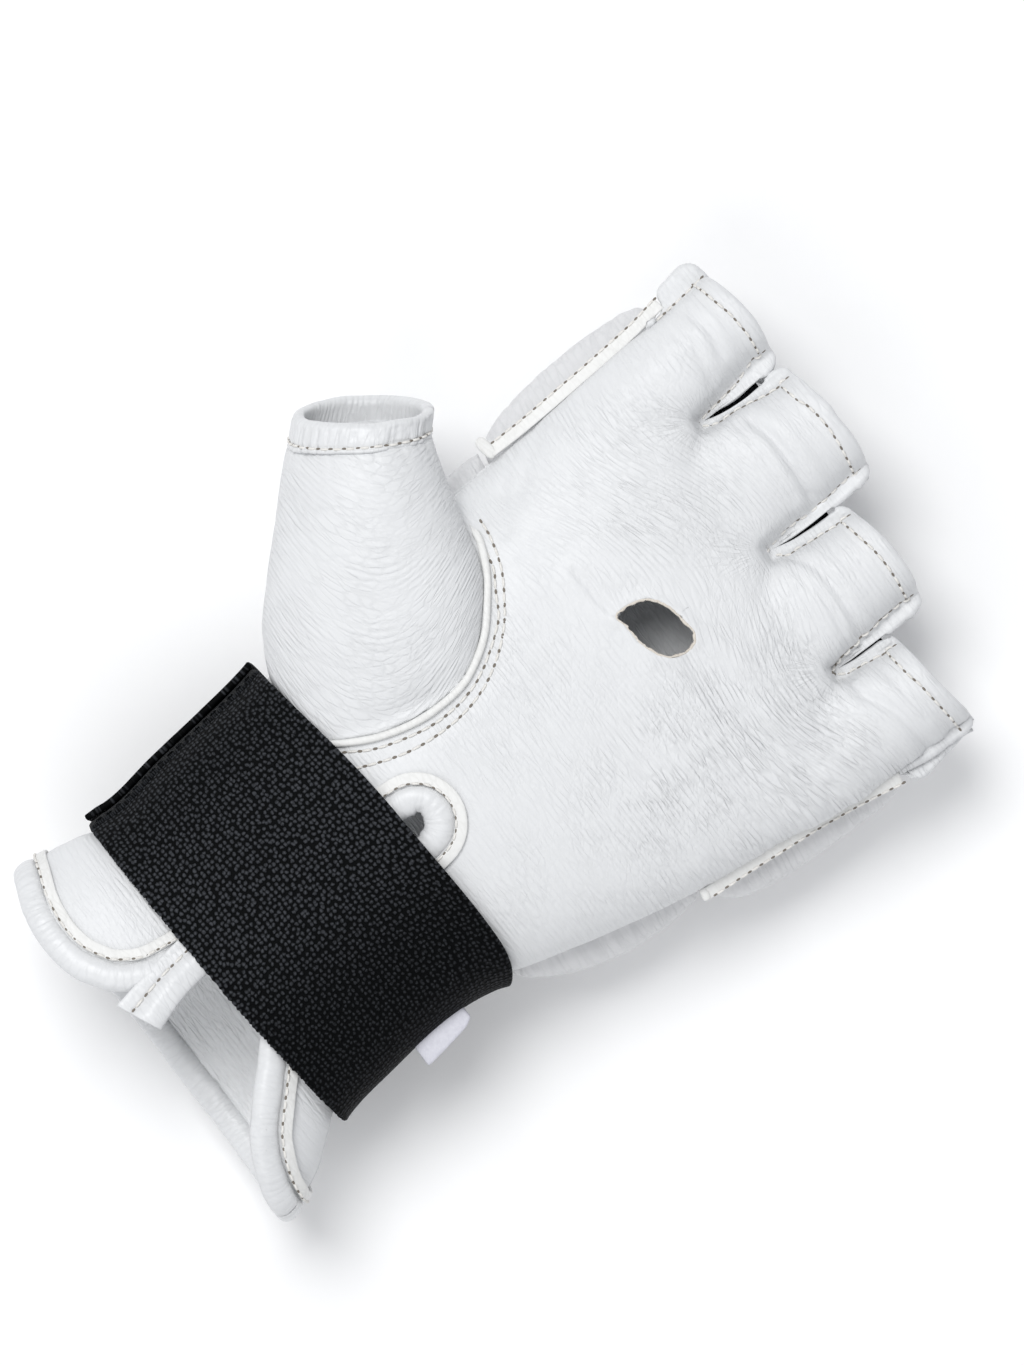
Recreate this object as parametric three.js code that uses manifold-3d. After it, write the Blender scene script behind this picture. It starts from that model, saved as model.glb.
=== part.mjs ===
// An open-finger karate glove for the left hand, lying on the back of the hand with its palm up.
// White leather panels and pads, a tapering thumb sleeve, and a wide black elastic strap round the wrist.
// Units are millimetres, +Z up. Fingers point along +Y and the thumb stands out towards -X.
// The tables give the palm's own coordinates. The last group moves the middle of the footprint to the origin.
import * as THREE from 'three';
import { mergeVertices } from 'three/addons/utils/BufferGeometryUtils.js';
import Module from 'manifold-3d';

const wasm = await Module();
wasm.setup();

// Driving sizes
const FOOTPRINT_CENTRE = { x: -0.54, y: -24.26 };
const LEATHER = 1.8; // wall of every leather panel
const SEAM_Z = 32; // height of the side seam, where the palm panel meets the back panel
const GAP = 0.3; // clearance between two pieces that touch
const FLANGE = 1.4; // thickness of one layer of a finger sleeve's stitched flange
const ROLL = { across: 2.8, up: 2.2 }; // half sizes of the padded roll along the edge of the cuff
const CUFF_TAPE = { width: 2.2, thickness: 0.7 };
const EDGE_TAPE = { width: 3.4, thickness: 0.9, z: 33.1, tilt: 0.4, steps: 10 };
const WELT = { width: 1.9, thickness: 1.5, steps: 22 };
const HEM = { standOut: 0.3, fold: 0.9, gapShare: 0.035 };
const STRAP = { clearance: 2, thickness: 1.6, bindingRise: 0.5, bindingReach: 0.6, rows: 5 };
const STRAP_MARGIN = { clearance: 0.01, overlap: 0.02 }; // shares of the strap's width
const PAST_MOUTH = { clearance: 0.4, cavity: 6 }; // how far a cutting sleeve goes on past its mouth
const WELD = 1e-4; // points closer than this are one
const FAR = 200; // reach of a cutting solid, well past the glove

// Colours, roughness and metalness of the materials
const FINISH = {
  leather: { color: 0xe9e9ec, roughness: 0.45, metalness: 0 },
  padLeather: { color: 0xdfdfe0, roughness: 0.5, metalness: 0 },
  trim: { color: 0xf0efe8, roughness: 0.5, metalness: 0 },
  elastic: { color: 0x141416, roughness: 0.8, metalness: 0 },
  binding: { color: 0x1b1b1d, roughness: 0.5, metalness: 0 },
  label: { color: 0xdcdce6, roughness: 0.6, metalness: 0 },
};

// Outline and height of the hand and cuff at stations from the cuff's mouth to the finger roots.
// The curve is the exponent of the rounded section: 2 is an ellipse, and a larger one is squarer.
const HAND_SECTIONS = [
  { y: -122, left: -30.2, right: 59.0, top: 51.5, bottom: 7, curve: 2.4 },
  { y: -112, left: -30.0, right: 57.2, top: 51.0, bottom: 7.5, curve: 2.4 },
  { y: -104, left: -29.2, right: 54.0, top: 50.0, bottom: 8.5, curve: 2.4 },
  { y: -98, left: -27.4, right: 49.6, top: 48.6, bottom: 10, curve: 2.4 },
  { y: -93, left: -25.2, right: 46.2, top: 48.0, bottom: 11, curve: 2.4 },
  { y: -80, left: -26.6, right: 44.2, top: 47.8, bottom: 11.5, curve: 2.4 },
  { y: -65, left: -28.0, right: 43.0, top: 48.0, bottom: 12, curve: 2.4 },
  { y: -54, left: -29.4, right: 44.4, top: 48.5, bottom: 14, curve: 2.4 },
  { y: -47, left: -31.5, right: 47.2, top: 49.4, bottom: 16.5, curve: 2.4 },
  { y: -38, left: -33.6, right: 50.0, top: 50.0, bottom: 18.5, curve: 2.5 },
  { y: -20, left: -35.4, right: 54.6, top: 49.2, bottom: 20, curve: 2.6 },
  { y: 0, left: -36.4, right: 58.2, top: 47.5, bottom: 21, curve: 2.8 },
  { y: 18, left: -37.1, right: 60.3, top: 46.3, bottom: 21.5, curve: 3.1 },
  { y: 28, left: -37.7, right: 61.5, top: 45.3, bottom: 21.8, curve: 3.5 },
  { y: 36, left: -38.1, right: 62.2, top: 44.0, bottom: 22.2, curve: 3.6 },
  { y: 40, left: -38.4, right: 62.6, top: 42.4, bottom: 23.2, curve: 3.6 },
  { y: 43, left: -38.4, right: 62.6, top: 40.2, bottom: 24.8, curve: 3.6 },
  { y: 45, left: -38.4, right: 62.6, top: 37.6, bottom: 27, curve: 3.6 },
  { y: 46.2, left: -38.4, right: 62.6, top: 34.8, bottom: 29.4, curve: 3.6 },
];
const FINGER_LINE = { slope: -0.17, from: 2, to: 40 }; // the stations near the fingers slant across the hand

// Finger sleeves, from the index to the little finger: the sides of the rounded part at the root (0) and at
// the mouth (1), how far along Y the mouth lies at each side, and how much wider the back half is
const FINGERS = [
  { left0: -38.2, right0: -17.6, left1: -40.0, right1: -20.2, mouthLeft: 67.4, mouthRight: 69.4, back: 0 },
  { left0: -16.4, right0: 11.4, left1: -13.8, right1: 9.6, mouthLeft: 69.4, mouthRight: 70.4, back: 0 },
  { left0: 12.6, right0: 38.4, left1: 16.0, right1: 36.4, mouthLeft: 62.2, mouthRight: 62.8, back: 0 },
  { left0: 39.6, right0: 62.6, left1: 42.2, right1: 62.6, mouthLeft: 53.0, mouthRight: 55.0, back: 2.6 },
];
const FINGER_SECTIONS = [
  { t: 0, top: 7, bottom: 5.5, spread: 0, inset: 4 },
  { t: 0.3, top: 9.8, bottom: 8, spread: 0, inset: 1.6 },
  { t: 0.52, top: 11, bottom: 9.1, spread: 0.22, inset: 0 },
  { t: 0.76, top: 11, bottom: 9.2, spread: 0.62, inset: 0 },
  { t: 1, top: 10.6, bottom: 9.2, spread: 1, inset: 0 },
];
const FINGER_ROOT_Y = 18;
const FINGER_CURVE = 2.3;
const BACK_TAPER = 0.6; // the part of the back half's extra width that is lost towards the mouth

// Stitched flanges of the finger sleeves: plan view, from the root to the mouth
const FLANGES = [
  [
    [-38.0, 30], [-38.8, 50], [-39.6, 58.2], [-42.9, 59.6], [-43.5, 67.3],
    [-30, 69.6], [-17.7, 69.6], [-17.6, 60], [-17.05, 49.4], [-17.05, 30],
  ],
  [
    [-16.95, 30], [-16.95, 49.4], [-16.1, 60], [-15.7, 69.6], [-2, 70.8],
    [11.6, 70.4], [12.4, 62], [11.75, 44], [11.75, 30],
  ],
  [
    [11.85, 30], [11.85, 44], [13.4, 55], [14.2, 62], [26, 63.6],
    [38.4, 62.6], [38.9, 55], [38.75, 39.6], [38.75, 28],
  ],
  [
    [38.85, 28], [38.85, 39.6], [39.8, 46], [40.4, 53], [52, 54.6],
    [64.4, 55.4], [63.4, 41.5], [62.4, 38], [60, 28],
  ],
];

// Thumb sleeve, from past its mouth to below the seam: the two ends of each section across the thumb,
// how far the section rises and drops from them, and its lean towards the mouth
const THUMB_SECTIONS = [
  { a: [-55.7, 12.0, 44], b: [-71.2, -9.5, 43], up: 12.6, down: 12.6, lean: 0.26 },
  { a: [-52.6, 8.0, 44], b: [-68.0, -13.6, 43], up: 12.8, down: 12.8, lean: 0.26 },
  { a: [-48.6, 4.9, 44], b: [-64.2, -18.6, 42.4], up: 13.6, down: 13.4, lean: 0.22 },
  { a: [-40.0, 1.8, 43.5], b: [-56.2, -28.0, 41], up: 15.2, down: 15.4, lean: 0.14 },
  { a: [-30.5, -0.5, 43.5], b: [-46.6, -38.6, 39], up: 15.6, down: 17.5, lean: 0.07 },
  { a: [-20.0, -3.2, 44.5], b: [-37.0, -47.2, 38], up: 14.2, down: 18.5, lean: 0 },
  { a: [-11.6, -10.0, 45.5], b: [-25.0, -52.5, 39], up: 11.4, down: 18, lean: 0 },
  { a: [-6.4, -17.6, 46], b: [-14.5, -52.0, 42], up: 7.2, down: 16, lean: 0 },
  { a: [-4.4, -25.5, 44], b: [-7.0, -44.0, 42], up: 2.2, down: 12, lean: 0 },
];
const THUMB_CURVE = 2.2;
const THUMB_WELT = [
  [-28.5, 0.3], [-22.5, -0.4], [-16.5, -3.6], [-11, -8.2], [-6.6, -13.8],
  [-4.0, -20], [-3.2, -27], [-4.0, -34], [-6.0, -41], [-8.6, -46],
];

// Plan view of the padded roll's centre line: down the left side of the slit, and down the right side
const SLIT_TOP = { x: 11.2, y: -45.2, radius: 4.9 };
const ROLL_LEFT = [
  [6, -50], [4.8, -70], [3.8, -90], [3, -99], [1.6, -106], [-1.8, -111.4],
  [-4.4, -113.4], [-8.9, -115.6], [-15, -116.5], [-21.6, -115.7], [-26.9, -113.9],
];
const ROLL_RIGHT = [
  [55, -113.2], [50.6, -112.2], [46.1, -110.3], [41.7, -107.7], [37, -103.4],
  [32, -98.4], [27.4, -93.4], [22.8, -82], [19, -65], [17, -52],
];
const CUFF_BACK_Y = -113.5;
const CUFF_BACK_MARGIN = 0.04; // angle that the roll leaves free between its palm side and its back

// Elastic strap: where its two long edges lie along Y, at angles round the wrist from the little-finger side
const STRAP_EDGES = [
  { angle: -170, top: -52.6, bottom: -97.2 },
  { angle: -90, top: -51, bottom: -96 },
  { angle: 0, top: -51, bottom: -93.4 },
  { angle: 45, top: -46.9, bottom: -94 },
  { angle: 90, top: -47.3, bottom: -96 },
  { angle: 135, top: -50.6, bottom: -97 },
  { angle: 170, top: -52.8, bottom: -97.4 },
];
const STRAP_SEAM = { front: 171, edge: 177.5, clear: 179.5, back: 178 }; // angles of its two ends
const STRAP_END_SPAN = 9; // sections of the strap that its closed end overlaps
const PULL_TAB = { root: [4.6, -97.6], end: [8.2, -112.6], overX: 3, width: 9.4, thickness: 2.2, lift: 2.9 };
// Section of the pull tab, in half widths and half thicknesses
const PULL_TAB_SECTION = [[1, 1], [0.9, 1.15], [-0.9, 1.15], [-1, 1], [-1, -1], [1, -1]];
const PULL_TAB_END = 0.7; // share of the thickness that is left at the free end
const CLOSURE_TAB = { top: -61, z: 34, thickness: 1.2 };
const CLOSURE_PROFILE = [
  { out: -0.4, down: 0 },
  { out: 1.62, down: 0.2 },
  { out: 2.52, down: 2 },
  { out: 3.6, down: 12 },
  { out: -0.4, down: 12 },
];
const CUT = { top: 90, holeLow: 38 }; // heights that the cuts through the palm panel span
const PALM_HOLE = { x: 10.3, y: 16.8, halfLength: 7.8, halfWidth: 4.6, tilt: 0.36, point: 0.22, points: 20 };

// Plan view of the two edge tapes, from the wrist to the fingers
const INDEX_TAPE = [[-37.6, 11.6], [-38.2, 20], [-38.8, 32], [-39.4, 44], [-40.4, 56.6]];
const LITTLE_TAPE = [[59.0, -8.6], [60.4, 4], [61.9, 18], [63.2, 29], [64.6, 37.4]];

// Pads on the back of the hand. An end is a slanted line across the hand: y at x = 0, and its slope.
const PAD_JOIN = { y: 3, slope: -0.203 };
const KNUCKLE_FRONT = { y: 49.8, slope: -0.171 };
const HAND_PAD_REAR = { y: -49.4, slope: 0 };
const KNUCKLE_PAD = [
  { s: 0, left: -41.0, right: 58.6, low: 5, high: 26 },
  { s: 0.04, left: -42.6, right: 61.6, low: 1.4, high: 29.4 },
  { s: 0.14, left: -44.4, right: 64.8, low: -0.8, high: 31 },
  { s: 0.35, left: -45.8, right: 67.0, low: -1.2, high: 31.5 },
  { s: 0.7, left: -46.4, right: 68.0, low: -1.2, high: 31.5 },
  { s: 0.9, left: -45.6, right: 67.8, low: -0.8, high: 31 },
  { s: 0.97, left: -43.8, right: 66.4, low: 1.6, high: 28.4 },
  { s: 1, left: -41.0, right: 64.4, low: 5.5, high: 24.5 },
];
const HAND_PAD = [
  { s: 0, left: -29.0, right: 48.6, low: 11, high: 27 },
  { s: 0.05, left: -31.0, right: 51.0, low: 6, high: 30 },
  { s: 0.2, left: -35.0, right: 54.8, low: 0.8, high: 31.5 },
  { s: 0.45, left: -38.4, right: 58.6, low: -1.2, high: 31.5 },
  { s: 0.75, left: -40.6, right: 60.2, low: -1.2, high: 31.5 },
  { s: 0.95, left: -41.2, right: 59.6, low: 0.4, high: 30 },
  { s: 1, left: -40.2, right: 58.0, low: 4.5, high: 26 },
];
const PAD_CURVE = 3.4;

// Small mathematics
const mix = (a, b, t) => a + (b - a) * t;
const power = (value, exponent) => Math.sign(value) * Math.abs(value) ** exponent;

// The value of one column of a table at a key, on a smooth curve through the rows
function column(table, keyName, key, name) {
  const last = table.length - 1;
  let i = table.findIndex((row) => row[keyName] > key) - 1;
  if (i < 0) i = key <= table[0][keyName] ? 0 : last - 1;
  const at = (k) => table[Math.min(Math.max(k, 0), last)];
  const [p0, p1, p2, p3] = [at(i - 1), at(i), at(i + 1), at(i + 2)];
  const span = p2[keyName] - p1[keyName];
  const t = Math.min(Math.max((key - p1[keyName]) / span, 0), 1);
  const slope = (a, b) => {
    const run = b[keyName] - a[keyName];
    return run === 0 ? 0 : ((b[name] - a[name]) / run) * span;
  };
  const m1 = slope(p0, p2);
  const m2 = slope(p1, p3);
  const t2 = t * t;
  const t3 = t2 * t;
  const start = (2 * t3 - 3 * t2 + 1) * p1[name] + (t3 - 2 * t2 + t) * m1;
  return start + (3 * t2 - 2 * t3) * p2[name] + (t3 - t2) * m2;
}

// A section between two rows of a table
function mixSections(a, b, t) {
  const between = (u, v) => (Array.isArray(u) ? u.map((value, i) => mix(value, v[i], t)) : mix(u, v, t));
  return Object.fromEntries(Object.keys(a).map((key) => [key, between(a[key], b[key])]));
}

// Meshes and solids
function closedGeometry(points, triangles) {
  const geometry = new THREE.BufferGeometry();
  geometry.setFromPoints(points);
  geometry.setIndex(triangles.flat());
  return geometry;
}

// A closed body through rings of points that turn the same way. Its ends are capped, or joined when looped.
function loft(rings, looped = false) {
  const n = rings[0].length;
  const points = rings.flat();
  const triangles = [];
  const last = looped ? rings.length : rings.length - 1;
  for (let i = 0; i < last; i += 1) {
    const base = i * n;
    const next = ((i + 1) % rings.length) * n;
    for (let j = 0; j < n; j += 1) {
      const k = (j + 1) % n;
      triangles.push([base + j, base + k, next + k], [base + j, next + k, next + j]);
    }
  }
  if (!looped) {
    const end = (rings.length - 1) * n;
    for (let j = 1; j < n - 1; j += 1) {
      triangles.push([0, j + 1, j], [end, end + j, end + j + 1]);
    }
  }
  return closedGeometry(points, triangles);
}

function solidOf(geometry) {
  const bare = geometry.clone();
  bare.deleteAttribute('normal');
  bare.deleteAttribute('uv');
  const merged = mergeVertices(bare, WELD);
  const bodyOf = (triangles) => {
    const positions = new Float32Array(merged.attributes.position.array);
    return new wasm.Manifold(new wasm.Mesh({ numProp: 3, vertProperties: positions, triVerts: triangles }));
  };
  const triangles = new Uint32Array(merged.index.array);
  const solid = bodyOf(triangles);
  if (solid.volume() >= 0) return solid;
  for (let i = 0; i < triangles.length; i += 3) {
    [triangles[i], triangles[i + 1]] = [triangles[i + 1], triangles[i]];
  }
  return bodyOf(triangles);
}

function geometryOf(solid) {
  const mesh = solid.getMesh();
  const geometry = new THREE.BufferGeometry();
  geometry.setAttribute('position', new THREE.Float32BufferAttribute(mesh.vertProperties, 3));
  geometry.setIndex(new THREE.Uint32BufferAttribute(mesh.triVerts, 1));
  return geometry;
}

// The largest body of a solid, without the crumbs that a cut leaves
function largest(solid) {
  return solid.decompose().reduce((best, body) => (body.volume() > best.volume() ? body : best));
}

function block(x0, x1, y0, y1, z0, z1) {
  const box = new THREE.BoxGeometry(x1 - x0, y1 - y0, z1 - z0);
  box.translate((x0 + x1) / 2, (y0 + y1) / 2, (z0 + z1) / 2);
  return solidOf(box);
}

// A prism with a plan outline, from one height to another
function prism(outline, low, high) {
  const shape = new THREE.Shape(outline.map(([x, y]) => new THREE.Vector2(x, y)));
  const body = new THREE.ExtrudeGeometry(shape, { depth: high - low, bevelEnabled: false });
  body.translate(0, 0, low);
  return solidOf(body);
}

// A rounded section in a plane across Y, with its own widths above and below the seam
function roundedRing(count, at) {
  const ring = [];
  for (let i = 0; i < count; i += 1) {
    const angle = (2 * Math.PI * (i + 0.5)) / count;
    ring.push(at(Math.cos(angle), Math.sin(angle)));
  }
  return ring;
}

// Hand and cuff
const handAt = (s, name) => column(HAND_SECTIONS, 'y', s, name);

function slant(s) {
  const t = Math.min(Math.max((s - FINGER_LINE.from) / (FINGER_LINE.to - FINGER_LINE.from), 0), 1);
  return FINGER_LINE.slope * t * t * (3 - 2 * t);
}

// The station of the hand's slanted section that passes over a point of the plan
const STATION_STEPS = 6;
function stationAt(x, y) {
  let s = y;
  for (let i = 0; i < STATION_STEPS; i += 1) {
    s = y - slant(s) * x;
  }
  return s;
}

// A point of the hand's surface, moved out by an offset
function handPoint(s, cosine, sine, offset = 0) {
  const left = handAt(s, 'left') - offset;
  const right = handAt(s, 'right') + offset;
  const curve = handAt(s, 'curve');
  const height = sine >= 0 ? handAt(s, 'top') - SEAM_Z + offset : SEAM_Z - handAt(s, 'bottom') + offset;
  const x = mix(left, right, (1 + power(cosine, 2 / curve)) / 2);
  return new THREE.Vector3(x, s + slant(s) * x, SEAM_Z + height * power(sine, 2 / curve));
}

// Height of the palm's outer surface over a point of the plan
function palmHeight(x, y) {
  const s = stationAt(x, y);
  const left = handAt(s, 'left');
  const curve = handAt(s, 'curve');
  const across = Math.min(Math.abs((2 * (x - left)) / (handAt(s, 'right') - left) - 1), 1);
  return SEAM_Z + (handAt(s, 'top') - SEAM_Z) * (1 - across ** curve) ** (1 / curve);
}

// Outward normal of the hand's surface at a point on it
const NORMAL_STEP = 0.5;
function handNormal(p) {
  const step = NORMAL_STEP;
  const level = (x, y, z) => {
    const s = stationAt(x, y);
    const left = handAt(s, 'left');
    const right = handAt(s, 'right');
    const curve = handAt(s, 'curve');
    const rise = p.z >= SEAM_Z ? handAt(s, 'top') - SEAM_Z : SEAM_Z - handAt(s, 'bottom');
    const across = (2 * x - left - right) / (right - left);
    return Math.abs(across) ** curve + Math.abs((z - SEAM_Z) / rise) ** curve;
  };
  return new THREE.Vector3(
    level(p.x + step, p.y, p.z) - level(p.x - step, p.y, p.z),
    level(p.x, p.y + step, p.z) - level(p.x, p.y - step, p.z),
    level(p.x, p.y, p.z + step) - level(p.x, p.y, p.z - step),
  ).normalize();
}

const HAND_STATIONS = [-120, -112, -104, -98, -93, -80, -62, -48, -38, -22, -4, 14, 28, 36, 40, 43, 45, 46.2];
const CAVITY_STATIONS = [-126, ...HAND_STATIONS.slice(1, -2), 44];
const HAND_POINTS = 24;

function handSolid(offset, stations = HAND_STATIONS) {
  const rings = stations.map((s) => roundedRing(HAND_POINTS, (c, n) => handPoint(s, c, n, offset)));
  return solidOf(loft(rings));
}

// Finger sleeves
const FINGER_POINTS = 16;

function fingerSolid(finger, offset, past) {
  const rings = FINGER_SECTIONS.map(({ t, top, bottom, spread, inset }) => {
    const left = mix(finger.left0, finger.left1, spread) + inset - offset;
    const right = mix(finger.right0, finger.right1, spread) - inset + offset;
    const reach = t === 1 ? past : 0;
    return roundedRing(FINGER_POINTS, (c, n) => {
      const rightHere = n < 0 ? right + finger.back * (1 - BACK_TAPER * t) : right;
      const x = mix(left, rightHere, (1 + power(c, 2 / FINGER_CURVE)) / 2);
      const across = (x - finger.left1) / (finger.right1 - finger.left1);
      const mouth = mix(finger.mouthLeft, finger.mouthRight, across);
      const height = ((n >= 0 ? top : bottom) + offset) * power(n, 2 / FINGER_CURVE);
      const root = FINGER_ROOT_Y + FINGER_LINE.slope * x;
      return new THREE.Vector3(x, mix(root, mouth, t) + reach, SEAM_Z + height);
    });
  });
  return solidOf(loft(rings));
}

// Thumb sleeve
const THUMB_POINTS = 24;

function thumbRing(section, offset) {
  const a = new THREE.Vector3(...section.a);
  const b = new THREE.Vector3(...section.b);
  const centre = a.clone().add(b).multiplyScalar(0.5);
  const half = a.clone().sub(b).multiplyScalar(0.5);
  half.setLength(half.length() + offset);
  const along = new THREE.Vector3(-half.y, half.x, 0).normalize();
  if (along.x > 0) along.negate();
  return roundedRing(THUMB_POINTS, (c, n) => {
    const height = ((n >= 0 ? section.up : section.down) + offset) * power(n, 2 / THUMB_CURVE);
    return centre
      .clone()
      .addScaledVector(half, power(c, 2 / THUMB_CURVE))
      .addScaledVector(along, -section.lean * height)
      .add(new THREE.Vector3(0, 0, height));
  });
}

function thumbSolid(offset, sections) {
  return solidOf(loft(sections.map((section) => thumbRing(section, offset))));
}

// Frames along a line on the hand's surface: each has a point, a side direction and an upward normal
function framesAlong(curve, steps, looped) {
  const points = curve.getSpacedPoints(steps).slice(0, looped ? steps : steps + 1);
  return points.map((point, i) => {
    const along = curve.getTangentAt(i / steps).normalize();
    const up = handNormal(point);
    up.addScaledVector(along, -up.dot(along)).normalize();
    const side = new THREE.Vector3().crossVectors(up, along).normalize();
    return { point, side, up };
  });
}

function lineOnPalm(plan) {
  const points = plan.map(([x, y]) => new THREE.Vector3(x, y, palmHeight(x, y)));
  return new THREE.CatmullRomCurve3(points, false, 'centripetal');
}

// A strip along frames, moved sideways and upwards from them
const CORNERS = [[1, 1], [-1, 1], [-1, -1], [1, -1]];

function strip(frames, { width, thickness, shift = 0, lift = 0 }, looped = false) {
  const rings = frames.map(({ point, side, up }) =>
    CORNERS.map(([u, v]) =>
      point
        .clone()
        .addScaledVector(side, shift + (u * width) / 2)
        .addScaledVector(up, lift + (v * thickness) / 2),
    ),
  );
  return solidOf(loft(rings, looped));
}

// A tube along frames, with its own half sizes across the surface and up from it
function tube(frames, { across, up: rise }, sides, looped = false) {
  const rings = frames.map(({ point, side, up }) =>
    Array.from({ length: sides }, (_, j) => {
      const angle = (2 * Math.PI * (j + 0.5)) / sides;
      return point
        .clone()
        .addScaledVector(side, across * Math.cos(angle))
        .addScaledVector(up, rise * Math.sin(angle));
    }),
  );
  return solidOf(loft(rings, looped));
}

// Centre line of the padded roll: up the right side of the slit, round its top, down the left side,
// and round the back of the cuff
const SLIT_POINTS = 5;
const CUFF_BACK_POINTS = 10;
const slitTop = Array.from({ length: SLIT_POINTS }, (_, i) => {
  const angle = (Math.PI * i) / (SLIT_POINTS - 1);
  return [SLIT_TOP.x + SLIT_TOP.radius * Math.cos(angle), SLIT_TOP.y + SLIT_TOP.radius * Math.sin(angle)];
});
const rollPlan = [...ROLL_RIGHT, ...slitTop, ...ROLL_LEFT];
const cuffBack = Array.from({ length: CUFF_BACK_POINTS }, (_, i) => {
  const angle = mix(-Math.PI + CUFF_BACK_MARGIN, -CUFF_BACK_MARGIN, i / (CUFF_BACK_POINTS - 1));
  return handPoint(CUFF_BACK_Y, Math.cos(angle), Math.sin(angle), -LEATHER / 2);
});
const rollPalm = rollPlan.map(([x, y]) => new THREE.Vector3(x, y, palmHeight(x, y) - LEATHER / 2));
const rollCurve = new THREE.CatmullRomCurve3([...rollPalm, ...cuffBack], true, 'centripetal');
const ROLL_STEPS = 64;
const ROLL_SIDES = 8;
const rollFrames = framesAlong(rollCurve, ROLL_STEPS, true);

// Strap round the wrist, from the seam on the thumb side over the palm and back to the seam
const strapEdge = (angle, name) => column(STRAP_EDGES, 'angle', angle, name);

function strapPoint(angle, share, offset) {
  const y = mix(strapEdge(angle, 'top'), strapEdge(angle, 'bottom'), share);
  const radians = (angle * Math.PI) / 180;
  return handPoint(y, Math.cos(radians), Math.sin(radians), offset);
}

// Angles along the strap from its bound end, over the palm, to the end that closes on the back
const STRAP_STEPS = 36;
const STRAP_ANGLES = Array.from({ length: STRAP_STEPS + 1 }, (_, i) =>
  mix(STRAP_SEAM.front, -STRAP_SEAM.back, i / STRAP_STEPS),
);

function strapSolid(inner, outer, angles, margin = 0) {
  const rows = STRAP.rows;
  const shares = Array.from({ length: rows + 1 }, (_, j) => mix(-margin, 1 + margin, j / rows));
  const rings = angles.map((angle) => [
    ...shares.map((share) => strapPoint(angle, share, outer)),
    ...shares.toReversed().map((share) => strapPoint(angle, share, inner)),
  ]);
  return solidOf(loft(rings));
}

// Pads: a closed cushion between two slanted ends
const PAD_POINTS = 24;

function padSolid(sections, rear, front) {
  const rings = sections.map((section) => {
    const middle = (section.left + section.right) / 2;
    const centreZ = (section.low + section.high) / 2;
    const halfWidth = (section.right - section.left) / 2;
    const halfHeight = (section.high - section.low) / 2;
    return roundedRing(PAD_POINTS, (c, n) => {
      const x = middle + halfWidth * power(c, 2 / PAD_CURVE);
      const y = mix(rear.y + rear.slope * x, front.y + front.slope * x, section.s);
      return new THREE.Vector3(x, y, centreZ + halfHeight * power(n, 2 / PAD_CURVE));
    });
  });
  return solidOf(loft(rings));
}

// Palm hole: a tilted oval with a pointed end
function palmHoleOutline() {
  return Array.from({ length: PALM_HOLE.points }, (_, i) => {
    const angle = (2 * Math.PI * i) / PALM_HOLE.points;
    const u = PALM_HOLE.halfLength * Math.cos(angle);
    const v = PALM_HOLE.halfWidth * Math.sin(angle) * (1 + PALM_HOLE.point * Math.cos(angle));
    return [
      PALM_HOLE.x + u * Math.cos(PALM_HOLE.tilt) - v * Math.sin(PALM_HOLE.tilt),
      PALM_HOLE.y + u * Math.sin(PALM_HOLE.tilt) + v * Math.cos(PALM_HOLE.tilt),
    ];
  });
}

// Outer and inner forms
const joined = (solids) => solids.reduce((sum, solid) => sum.add(solid));
const fingerSolids = (offset, past) => FINGERS.map((finger) => fingerSolid(finger, offset, past));
const above = block(-FAR, FAR, -FAR, FAR, SEAM_Z + GAP / 2, FAR);
const below = block(-FAR, FAR, -FAR, FAR, -FAR, SEAM_Z - GAP / 2);
const flangePlates = FLANGES.map((outline) => prism(outline, SEAM_Z - FLANGE, SEAM_Z + FLANGE));
const clearFlanges = FLANGES.map((outline) => prism(outline, SEAM_Z - FLANGE - GAP, SEAM_Z + FLANGE + GAP));
const gloveOuter = joined([handSolid(0), ...fingerSolids(0, 0), ...flangePlates]);
const gloveClear = joined([handSolid(GAP), ...fingerSolids(GAP, PAST_MOUTH.clearance), ...clearFlanges]);
const thumbCavity = thumbSolid(-LEATHER, THUMB_SECTIONS);
const fingerCavities = fingerSolids(-LEATHER, PAST_MOUTH.cavity);
const cavity = joined([handSolid(-LEATHER, CAVITY_STATIONS), ...fingerCavities, thumbCavity]);
const shell = gloveOuter.subtract(cavity);

// Roll and tape round the cuff
const cuffRoll = tube(rollFrames, ROLL, ROLL_SIDES, true);
const rollClear = tube(rollFrames, { across: ROLL.across + GAP, up: ROLL.up + GAP }, ROLL_SIDES, true);
const tapeShift = -(ROLL.across + GAP + CUFF_TAPE.width / 2);
const tapeLift = LEATHER / 2 + GAP + CUFF_TAPE.thickness / 2;
const cuffTape = strip(rollFrames, { ...CUFF_TAPE, shift: tapeShift, lift: tapeLift }, true);

// Panels: the palm half above the side seam and the back half below it
const cuffOutline = [
  ...rollPlan,
  [-FAR, rollPlan.at(-1)[1]],
  [-FAR, -FAR],
  [FAR, -FAR],
  [FAR, rollPlan[0][1]],
];
const slitCutter = prism(cuffOutline, SEAM_Z, CUT.top);
const palmHole = prism(palmHoleOutline(), CUT.holeLow, CUT.top);
const palmPanel = largest(
  shell.intersect(above).subtract(slitCutter).subtract(rollClear).subtract(palmHole),
);
const cuffEnd = block(-FAR, FAR, -FAR, CUFF_BACK_Y, -FAR, FAR);
const backPanel = largest(shell.intersect(below).subtract(cuffEnd).subtract(rollClear));

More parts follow.
